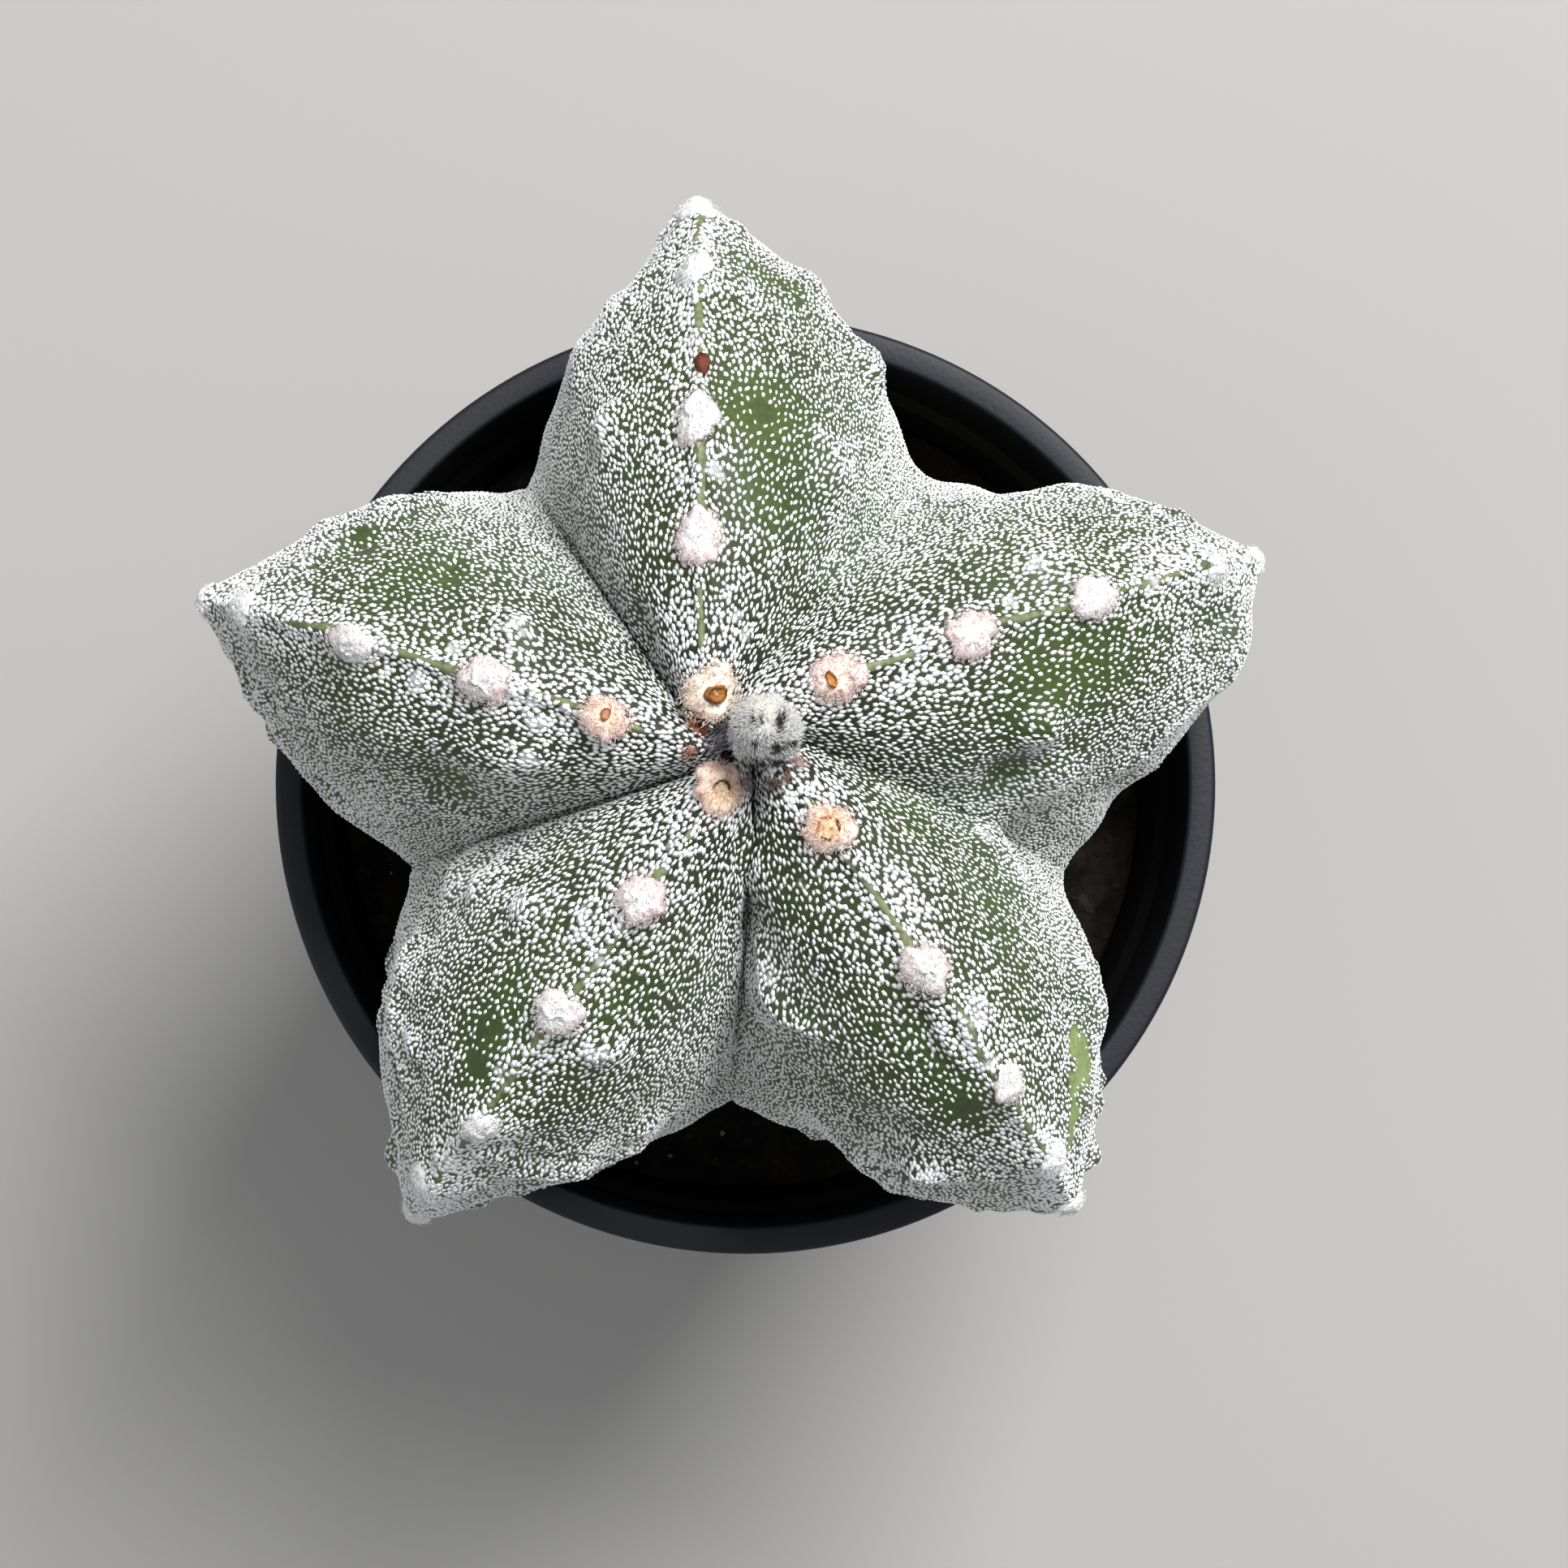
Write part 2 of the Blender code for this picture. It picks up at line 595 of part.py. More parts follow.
def build_soil():
    """The soil: it fills the pot, with a plain hole for the cactus's foot and root."""
    hole = foot_ring(rib_places(), HOLE_CLEARANCE)
    angles = np.arctan2(hole[:, 1], hole[:, 0])
    floor = CHANNEL_RISE + FLOOR_THICKNESS + GAP
    rings = soil_hole(hole, SOIL_HEIGHT - FOOT_DEPTH - GAP)
    edge = shrunk(hole, 1.0, SOIL_HEIGHT)
    outer = round_ring(angles, inner_wall(SOIL_HEIGHT) - GAP, SOIL_HEIGHT)
    for share in SOIL_RINGS:
        ring = edge * (1 - share) + outer * share
        ring[:, 2] += soil_relief(ring[:, 0], ring[:, 1]) * min(1, 2.5 * share)
        rings.append(ring)
    middle = 0.5 * SOIL_HEIGHT
    rings.append(round_ring(angles, inner_wall(middle) - GAP, middle))
    rings.append(round_ring(angles, inner_wall(floor + 1 * MM) - GAP, floor + 1 * MM))
    rings.append(round_ring(angles, inner_wall(floor) - 1.4 * MM, floor))
    pit = (*AXIS, rings[0][0, 2] - 0.1 * MM)
    mesh = mesh_of_rings("soil", rings, pit, (0, 0, floor))
    return mesh_object("soil", mesh, (0.035, 0.026, 0.02), 0.95)


def main():
    for old in list(bpy.data.objects):
        bpy.data.objects.remove(old)
    build_pot()
    build_soil()
    build_cactus()
    build_bud()


main()
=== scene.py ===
# %% [markdown]
# # A bishop's cap cactus in a black nursery pot
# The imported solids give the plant's form: five ribs in a star, woolly areoles along their crests, a
# bud in the crown, and a pot of dark soil. This lesson dresses them. It makes a finer skin of the same
# form, sprinkles it with about fifty thousand white flecks, and adds felt, wool, hair, crumbs of soil
# and the plastic of the pot. Everything is metres, +Z up, with the origin under the middle of the pot.
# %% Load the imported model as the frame
import math

import bpy
import numpy as np
from mathutils import Matrix, Vector


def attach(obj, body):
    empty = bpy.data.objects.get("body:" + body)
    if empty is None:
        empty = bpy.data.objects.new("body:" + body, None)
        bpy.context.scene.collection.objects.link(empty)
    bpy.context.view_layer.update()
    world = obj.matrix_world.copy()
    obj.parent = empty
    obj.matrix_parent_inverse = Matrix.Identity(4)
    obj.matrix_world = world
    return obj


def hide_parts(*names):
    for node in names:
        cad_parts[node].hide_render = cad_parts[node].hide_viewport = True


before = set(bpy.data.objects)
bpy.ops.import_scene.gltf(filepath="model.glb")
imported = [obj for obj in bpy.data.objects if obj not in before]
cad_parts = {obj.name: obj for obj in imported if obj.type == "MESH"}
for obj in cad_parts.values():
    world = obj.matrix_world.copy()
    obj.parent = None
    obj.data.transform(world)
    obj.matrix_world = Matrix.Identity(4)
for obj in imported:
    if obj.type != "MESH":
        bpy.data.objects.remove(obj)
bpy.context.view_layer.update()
MM = 0.001
TURN = 2 * math.pi
POT_HEIGHT = 90 * MM
print("nodes:", sorted(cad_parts))

# %% [markdown]
# ## The camera
# The picture is taken from almost straight above, a little from the front and left, about 0.4 m over
# the rim. At that distance the crown looks larger than the rim below it, so the distance matters as
# much as the angle. The camera is placed by its own three axes, built from the direction that it looks
# back along and the direction that is up in the picture.
# %% Camera
CAMERA_MM = (-8.93, -18.55, 489.49)
CAMERA_TURN, CAMERA_TILT = math.radians(-35.0), math.radians(86.8)
FOCAL_MM, SENSOR_MM = 86.46, 36
back = Vector((math.sin(CAMERA_TURN) * math.cos(CAMERA_TILT),
               -math.cos(CAMERA_TURN) * math.cos(CAMERA_TILT),
               math.sin(CAMERA_TILT)))
upward = Vector((0, 1, 0))
upward = (upward - back * upward.dot(back)).normalized()
rightward = upward.cross(back)
lens = bpy.data.cameras.new("camera")
lens.lens = FOCAL_MM
lens.sensor_width = SENSOR_MM
lens.clip_start = 0.01
camera = bpy.data.objects.new("camera", lens)
placed = Matrix((rightward, upward, back)).transposed().to_4x4()
placed.translation = Vector(CAMERA_MM) * MM
camera.matrix_world = placed
bpy.context.scene.collection.objects.link(camera)
bpy.context.scene.camera = camera
print("camera height over the rim:", round(CAMERA_MM[2] - POT_HEIGHT / MM), "mm")

# %% [markdown]
# ## Meshes from whole arrays
# A piece here is an array of points and arrays of faces. Filling Blender's lists in one call each is
# far quicker than adding points one by one, and makes a body of a hundred thousand triangles in a
# blink. Most shapes are rings of points that a pole closes at either end, and what comes in hundreds
# is one such shape repeated. A tint, the colour of each point, goes along as an attribute that the
# material reads.
# %% Mesh helpers
def mesh_piece(name, points, face_sets, finish, tint=None, smooth=True):
    """A finished piece: points (n, 3), face_sets a list of arrays of triangles or quads, and an
    optional tint (n, 3) for each point. It rides on the plant's one body."""
    mesh = bpy.data.meshes.new(name)
    points = np.asarray(points, np.float32).reshape(-1, 3)
    mesh.vertices.add(len(points))
    mesh.vertices.foreach_set("co", points.ravel())
    corners = np.concatenate([faces.ravel() for faces in face_sets]).astype(np.int32)
    sizes = np.concatenate([np.full(len(faces), faces.shape[1]) for faces in face_sets])
    starts = np.concatenate([[0], np.cumsum(sizes)[:-1]]).astype(np.int32)
    mesh.loops.add(len(corners))
    mesh.loops.foreach_set("vertex_index", corners)
    mesh.polygons.add(len(sizes))
    mesh.polygons.foreach_set("loop_start", starts)
    mesh.update(calc_edges=True)
    mesh.validate()
    if smooth:
        mesh.shade_smooth()
    if tint is not None:
        paint(mesh, "tint", tint)
    mesh.materials.append(finish)
    piece = bpy.data.objects.new(name, mesh)
    bpy.context.scene.collection.objects.link(piece)
    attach(piece, "root")
    print(name, "has", int((sizes - 2).sum()), "triangles")
    return piece


def repeated_piece(name, points, tints, faces, finish, smooth=True):
    """One piece of many copies of a shape: points (copies, n, 3), the tint of each point or of each
    copy, and the face sets of the first copy."""
    copies, size = points.shape[:2]
    shift = size * np.arange(copies)[:, None, None]
    face_sets = [(part + shift).reshape(-1, part.shape[1]) for part in faces]
    tints = np.broadcast_to(tints, points.shape).reshape(-1, 3)
    return mesh_piece(name, points, face_sets, finish, tints, smooth)


def paint(mesh, name, values):
    """Writes a colour (n, 3) or a number (n,) for each point into a named attribute."""
    values = np.asarray(values, np.float32)
    if values.ndim == 1:
        mesh.attributes.new(name, "FLOAT", "POINT").data.foreach_set("value", values)
    else:
        colour = np.concatenate([values, np.ones((len(values), 1), np.float32)], 1)
        mesh.attributes.new(name, "FLOAT_COLOR", "POINT").data.foreach_set("color", colour.ravel())


def grid_faces(rows, columns):
    """Quads of a grid of points whose columns close on themselves, such as rings going down."""
    down, along = np.meshgrid(np.arange(rows - 1), np.arange(columns), indexing="ij")
    here, beside = down * columns + along, down * columns + (along + 1) % columns
    return np.stack([here, here + columns, beside + columns, beside], -1).reshape(-1, 4)


def pole_faces(ring_start, columns, pole, upper):
    """The fan of triangles that closes a ring with one pole point, above it or below it."""
    here = ring_start + np.arange(columns)
    beside = ring_start + (np.arange(columns) + 1) % columns
    order = [np.full(columns, pole), here, beside] if upper else [beside, here, np.full(columns, pole)]
    return np.stack(order, -1)


def closed_faces(rows, columns):
    """The face sets of rings of points that a pole closes at either end. The poles come last."""
    poles = rows * columns
    caps = np.concatenate([pole_faces(0, columns, poles, True),
                           pole_faces(poles - columns, columns, poles + 1, False)])
    return [grid_faces(rows, columns), caps]


def closed(rings, first_pole, last_pole):
    """(points, face sets) of rings (rows, columns, 3) between two poles."""
    points = np.concatenate([rings.reshape(-1, 3), [first_pole, last_pole]])
    return points, closed_faces(*rings.shape[:2])


def smoothstep(x, low, high):
    """0 below low and 1 above high, with a soft S between them."""
    t = np.clip((x - low) / (high - low), 0, 1)
    return t * t * (3 - 2 * t)


# %% [markdown]
# ## Shader maths as plain expressions
# A finish is a small graph of nodes. Written node by node it is long and hard to read, so one class
# wraps a socket and lets it take part in sums, and one method makes every other node from its
# settings and inputs. Colours are blended with Mix nodes, because a Math node would turn them grey.
# %% Shader helpers
class Wire:
    """A node's output that can be added, subtracted and multiplied like a number."""

    def __init__(self, finish, output):
        self.finish, self.output = finish, output

    def maths(self, operation, first, second):
        return self.finish.node("ShaderNodeMath", {"operation": operation}, {0: first, 1: second})

    def __add__(self, other):
        return self.maths("ADD", self, other)

    def __sub__(self, other):
        return self.maths("SUBTRACT", self, other)

    def __rsub__(self, other):
        return self.maths("SUBTRACT", other, self)

    def __mul__(self, other):
        return self.maths("MULTIPLY", self, other)

    __radd__ = __add__
    __rmul__ = __mul__

    def ramp(self, low, high):
        """0 where this is below low and 1 above high."""
        settings = {"interpolation_type": "SMOOTHSTEP"}
        return self.finish.node("ShaderNodeMapRange", settings, {0: self, 1: low, 2: high})


class Finish:
    """A material being made: constants go on its shader's sockets, and wires feed what varies."""

    def __init__(self, name, roughness, **constants):
        self.material = bpy.data.materials.new(name)
        self.material.use_nodes = True
        self.tree = self.material.node_tree
        self.shader = self.tree.nodes["Principled BSDF"]
        self.shader.inputs["Roughness"].default_value = roughness
        for socket, value in constants.items():
            self.shader.inputs[socket.replace("_", " ")].default_value = value
        self.place = self.node("ShaderNodeTexCoord", {}, {}, "Object")

    def node(self, kind, settings, inputs, output=0):
        """Any node: its settings first, then the value or wire of each input. Returns one output."""
        made = self.tree.nodes.new(kind)
        for name, value in settings.items():
            setattr(made, name, value)
        for name, value in inputs.items():
            self.feed(made.inputs[name], value)
        return Wire(self, made.outputs[output])

    def feed(self, socket, value):
        if isinstance(value, Wire):
            self.tree.links.new(value.output, socket)
        else:
            socket.default_value = value

    def noise(self, size, detail=2.0):
        """Cloudy noise from about 0.2 to 0.8 whose blots are about size metres wide."""
        inputs = {"Vector": self.place, "Scale": 1 / size, "Detail": detail}
        return self.node("ShaderNodeTexNoise", {}, inputs)

    def attribute(self, name, colour=False):
        output = "Color" if colour else "Fac"
        return self.node("ShaderNodeAttribute", {"attribute_name": name}, {}, output)

    def mix(self, share, first, second):
        """The first colour where share is 0 and the second where it is 1."""
        inputs = {0: share, 6: opaque(first), 7: opaque(second)}
        return self.node("ShaderNodeMix", {"data_type": "RGBA"}, inputs, 2)

    def shade(self, colour, share):
        """A colour times a number that varies over the surface."""
        inputs = {0: 1.0, 6: colour, 7: share}
        return self.node("ShaderNodeMix", {"data_type": "RGBA", "blend_type": "MULTIPLY"}, inputs, 2)

    def bump(self, height, depth):
        """Makes the surface look raised by height times depth metres."""
        inputs = {"Height": height, "Distance": depth, "Strength": 1.0}
        self.feed(self.shader.inputs["Normal"], self.node("ShaderNodeBump", {}, inputs))

    def colour(self, colour):
        self.feed(self.shader.inputs["Base Color"], colour)
        return self


def opaque(colour):
    return colour if isinstance(colour, Wire) else (*colour, 1.0)


# %% [markdown]
# ## The form of the plant
# A place on the skin has two numbers. The rib place q is whole on a crest and half-way in a furrow,
# and the level v is 0 in the crown, 1 at the widest point and 2 at the soil. Two profiles, one down a
# crest and one down a furrow, are superellipses, and a section across the rib blends between them.
# The formulas and values are those that the solids were made with, so the finer skin keeps their
# form. Only the last areole that shows on the second rib stands a little nearer the crown.
# %% Values of the form
AXIS = (-2.1 * MM, 1.3 * MM)
SOIL_HEIGHT = 70 * MM
WAIST_HEIGHT = 110 * MM
REACH = 55.2 * MM
FURROW_REACH = 35 * MM
RIDGE_RISE = 43 * MM
FURROW_RISE = 40 * MM
FURROW_DROP = 2 * MM
RIDGE_POWER = 2.3
FURROW_POWER = 1.5
CROWN_PIT_DEPTH = 3 * MM
CROWN_PIT_RADIUS = 4 * MM
TUCK = 27 * MM
FURROW_TUCK = 12 * MM
TUCK_HEIGHT, TUCK_POWER = 24.7 * MM, 1.5
RIBS = 5
RIB_AZIMUTHS = (17.9, 89.6, 161.0, 233.3, 304.9)
FURROW_AZIMUTHS = (50.7, 121.5, 194.8, 267.0, 338.2)
RIB_SWIRLS_MM = (2.4, 4.0, 2.8, 1.9, 1.9)
RIB_SHARES = (0.999, 0.992, 0.975, 0.985, 1.000)
FURROW_SHARES = (1.000, 0.992, 0.984, 0.992, 1.016)
FLANK_BULGES_MM = (
    (0.4, -2.0), (0.0, 1.2), (-1.4, 0.6), (-0.6, 1.0), (-1.2, -0.2),
    (-1.2, 0.0), (-1.8, -0.6), (0.0, -1.8), (0.6, 1.4), (0.6, -1.6),
)
# Where the two bulges of a flank lie between crest (0) and furrow (1), and how wide they are.
BULGE_PLACES = ((0.25, 0.13), (0.62, 0.17))
LUMP_SEED = 7
# A section across a rib: how round its crest is, then the petal's point and arch near the crown, then
# the gable's slope at the widest point, how blunt its ridge and its foot are, and its dip.
CREST_ROUNDING = 0.02
PETAL_POINT, POINT_WIDTH, PETAL_ARCH, ARCH_POWER = 0.07, 0.06, 0.93, 0.85
GABLE_SLOPE, RIDGE_BLUNTNESS, FLARE_BLUNTNESS = 1.15, 0.05, 0.06
DIP_DEPTH, DIP_PLACE, DIP_WIDTH = 0.035, 0.67, 0.09


# %% Smooth form
def crest_and_furrow(v):
    """(crest radius, crest height, furrow radius, furrow height) at levels v. Above the widest
    point both are quarter superellipses; below it they drop straight and tuck in to the foot."""
    angle = np.clip(v, 0, 1) * math.pi / 2
    sine, cosine = np.sin(angle), np.maximum(np.cos(angle), 0)
    crest_r = REACH * sine ** (2 / RIDGE_POWER)
    crest_z = WAIST_HEIGHT + RIDGE_RISE * cosine ** (2 / RIDGE_POWER)
    crest_z = crest_z - CROWN_PIT_DEPTH * np.exp(-((crest_r / CROWN_PIT_RADIUS) ** 2))
    furrow_r = FURROW_REACH * sine ** (2 / FURROW_POWER)
    furrow_z = WAIST_HEIGHT - FURROW_DROP + FURROW_RISE * cosine ** (2 / FURROW_POWER)
    down = np.clip(v - 1, 0, None) * (WAIST_HEIGHT - SOIL_HEIGHT)
    tucked = 1 - np.exp(-((down / TUCK_HEIGHT) ** TUCK_POWER))
    furrow_z = furrow_z - down + FURROW_DROP * np.clip(v - 1, 0, 1)
    return crest_r - TUCK * tucked, crest_z - down, furrow_r - FURROW_TUCK * tucked, furrow_z


def rib_section(across, v):
    """1 on the crest and 0 in the furrow: a petal's arch near the crown, and at the widest point
    a gable with a blunt ridge, a dip and a flare into the furrow."""
    rounded = np.sqrt(across**2 + CREST_ROUNDING**2) - CREST_ROUNDING
    petal = PETAL_POINT * np.exp(-rounded / POINT_WIDTH)
    petal = petal + PETAL_ARCH * np.cos(across * math.pi / 2) ** ARCH_POWER
    slope = 1 - GABLE_SLOPE * (np.hypot(across, RIDGE_BLUNTNESS) - RIDGE_BLUNTNESS)
    gable = (slope + np.hypot(slope, FLARE_BLUNTNESS)) / 2
    gable = gable - DIP_DEPTH * np.exp(-(((across - DIP_PLACE) / DIP_WIDTH) ** 2))
    waist = smoothstep(v, 0.2, 0.95)
    return petal * (1 - waist) + gable * waist


def smooth_form(q, v):
    """Points of the plant before its lumps, round its own axis: the section blends the furrow's
    profile into the crest's, and the azimuth swirls a little towards the crown."""
    q = np.asarray(q, float) % RIBS
    v = np.asarray(v, float)
    crest = np.round(q).astype(int) % RIBS
    furrow = np.floor(q).astype(int) % RIBS
    across = 2 * np.abs(q - np.round(q))
    crest_r, crest_z, furrow_r, furrow_z = crest_and_furrow(v)
    crest_r = crest_r * np.take(RIB_SHARES, crest)
    furrow_r = furrow_r * np.take(FURROW_SHARES, furrow)
    share = rib_section(across, v)
    radius = furrow_r + (crest_r - furrow_r) * share
    bulges = np.take(FLANK_BULGES_MM, np.floor(2 * q).astype(int) % (2 * RIBS), axis=0) * MM
    bulge = sum(bulges[..., k] * np.exp(-(((across - place) / wide) ** 2))
                for k, (place, wide) in enumerate(BULGE_PLACES))
    radius = radius + bulge * smoothstep(v, 0.3, 1.0)
    height = furrow_z + (crest_z - furrow_z) * share
    knots = [x for pair in zip(RIB_AZIMUTHS, FURROW_AZIMUTHS) for x in pair]
    knots.append(RIB_AZIMUTHS[0] + 360)
    azimuth = np.radians(np.interp(q, np.arange(len(knots)) / 2, knots))
    swirls = (*RIB_SWIRLS_MM, RIB_SWIRLS_MM[0])
    azimuth = azimuth + np.interp(q, range(len(swirls)), swirls) * MM / (radius + 1 * MM)
    return np.stack([radius * np.cos(azimuth), radius * np.sin(azimuth), height], -1)


# %% [markdown]
# The flanks of an old plant aren't smooth: they carry bumps, dents and shoulders, some of them plain
# to see from above. Each one is a soft bell that raises or lowers the skin. A chin lifts the skin
# under every areole, and a host of small low bells keeps the flanks from looking turned on a lathe.
# Where the ribs are widest, smaller and sharper ones crinkle the edges that show from above.
# %% Lumps, chins and ripples
# Each lump: rib place, level, width and height in mm.
LUMPS = (
    (0.1, 0.42, 3.2, 0.8), (0.238, 0.738, 3.8, 1.1), (0.13, 0.71, 3.0, 0.6), (0.66, 0.438, 3.8, 1.3),
    (0.7, 0.728, 3.2, 1.1), (0.76, 0.682, 2.8, -0.8), (0.84, 0.69, 3.2, 0.9), (1.16, 0.7, 3.4, 1.0),
    (1.24, 0.45, 2.6, 1.2), (1.25, 0.75, 3.0, 0.7), (1.42, 0.242, 2.2, -0.8), (1.71, 0.7, 3.4, 1.1),
    (1.788, 0.428, 2.4, -0.8), (1.818, 0.622, 2.6, -0.7), (1.82, 0.284, 2.4, 0.8),
    (1.84, 0.72, 3.0, 0.9), (2.12, 0.84, 3.2, 1.0), (2.27, 0.294, 3.2, 0.7), (2.328, 0.442, 3.4, -1.4),
    (2.33, 0.92, 3.2, 1.0), (2.578, 0.562, 3.6, 1.2), (2.638, 0.434, 3.0, 1.1), (2.71, 0.68, 3.4, 1.2),
    (2.77, 0.306, 2.8, 1.0), (2.79, 0.73, 3.0, 1.0), (3.1, 0.636, 3.2, -0.7), (3.15, 0.39, 3.0, 0.8),
    (3.18, 0.7, 3.2, 1.2), (3.31, 0.72, 3.4, 0.8), (3.56, 0.24, 3.0, 0.9), (3.593, 0.446, 4.0, 1.4),
    (3.745, 0.778, 3.2, 1.4), (3.792, 0.592, 3.0, -0.8), (3.85, 0.69, 3.0, 1.1), (4.06, 0.39, 3.2, 0.8),
    (4.162, 0.684, 4.2, -0.5), (4.202, 0.272, 3.0, 0.6), (4.25, 0.78, 3.2, 1.3), (4.3, 0.72, 3.2, 1.3),
    (4.455, 0.508, 3.2, 1.4), (4.633, 0.42, 2.6, -1.1), (4.655, 0.53, 3.4, 1.0), (4.76, 0.384, 3.0, 1.2),
    (4.79, 0.71, 3.4, 0.8), (4.89, 0.8, 4.5, 2.0),
)
AREOLE_STATIONS_MM = (
    (11.3, 24.3, 37.2, 54.8, 69.3), (6.6, 20.6, 32.2, 50.4, 63.6),
    (13.6, 25.2, 39.6, 55.7, 68.4), (6.3, 18.2, 31.2, 46.4, 60),
    (12.5, 28.1, 43.2, 55.6, 69),
)
AREOLE_PITCH_MM, LAST_AREOLE_LEVEL = 13, 1.84
CHIN, CHIN_LENGTH = 0.8 * MM, 3.4 * MM
LOW_LEVELS = (0.86, 0.97, 1.12, 1.32, 1.55)
RIPPLES, CRINKLES = 420, 300


def all_lumps():
    """(q, v, width, height) of the named lumps and of seeded ones low on each flank."""
    draw = np.random.default_rng(LUMP_SEED)
    found = [(q, v, wide * MM, high * MM) for q, v, wide, high in LUMPS]
    for rib in range(RIBS):
        for side in (-1, 1):
            for level in LOW_LEVELS:
                across = draw.uniform(0.14, 0.36)
                wide = draw.uniform(2.8, 4.6) * MM
                high = draw.uniform(-1.2, 1.2) * MM
                level = level + draw.uniform(-0.05, 0.05)
                found.append(((rib + side * across) % RIBS, level, wide, high))
    return np.array(found)


def areole_levels(rib):
    """The levels of a rib's areoles: the named distances from the crown, then one each pitch."""
    levels = np.linspace(0, LAST_AREOLE_LEVEL, 800)
    steps = np.linalg.norm(np.diff(smooth_form(rib, levels), axis=0), axis=1)
    distance = np.concatenate([[0], np.cumsum(steps)]) / MM
    stations = list(AREOLE_STATIONS_MM[rib])
    while stations[-1] + AREOLE_PITCH_MM < distance[-1]:
        stations.append(stations[-1] + AREOLE_PITCH_MM)
    return np.interp(stations, distance, levels)


def small_bells(q, levels, widths, heights, draw):
    """Bells (q, v, width, height) at rib places q: the level and the width in mm are drawn between
    two limits, and the height in mm round a mean."""
    return np.stack([q, draw.uniform(*levels, len(q)), draw.uniform(*widths, len(q)) * MM,
                     draw.normal(*heights, len(q)) * MM], 1)


AREOLE_LEVELS = [areole_levels(rib) for rib in range(RIBS)]
lumps = all_lumps()
chins = np.array([(rib, level, CHIN_LENGTH, CHIN)
                  for rib, levels in enumerate(AREOLE_LEVELS) for level in levels])
draw = np.random.default_rng(11)
ripples = small_bells(draw.uniform(0, RIBS, RIPPLES), (0.22, 1.7), (1.3, 2.6), (0, 0.14), draw)
draw = np.random.default_rng(12)
beside_crests = draw.integers(0, RIBS, CRINKLES)
beside_crests = beside_crests + draw.choice((-1, 1), CRINKLES) * draw.uniform(0.05, 0.34, CRINKLES)
crinkles = small_bells(beside_crests, (0.62, 1.05), (0.9, 1.8), (0.05, 0.48), draw)
print(len(lumps), "lumps,", len(chins), "areoles")


def bells(points, places, power=2.0):
    """The height that bells (q, v, width, height) give at points: high * exp(-(far / wide)^power)."""
    height = np.zeros(points.shape[:-1])
    for centre, wide, high in zip(smooth_form(places[:, 0], places[:, 1]), places[:, 2], places[:, 3]):
        height += high * np.exp(-(np.linalg.norm(points - centre, axis=-1) / wide) ** power)
    return height


def folded(points):
    """The height that folds give at points: that of a bell over the nearest spot of the fold's path."""
    height = np.zeros(points.shape[:-1])
    for wide, high, *stops in FOLDS:
        stops = np.array(stops)
        along = np.linspace(0, len(stops) - 1, 9 * len(stops))
        path = smooth_form(*(np.interp(along, range(len(stops)), stops[:, k]) for k in (0, 1)))
        near = np.full(points.shape[:-1], np.inf)
        for place in path:
            near = np.minimum(near, np.sum((points - place) ** 2, -1))
        height += high * MM * np.exp(-near / (wide * MM) ** 2)
    return height


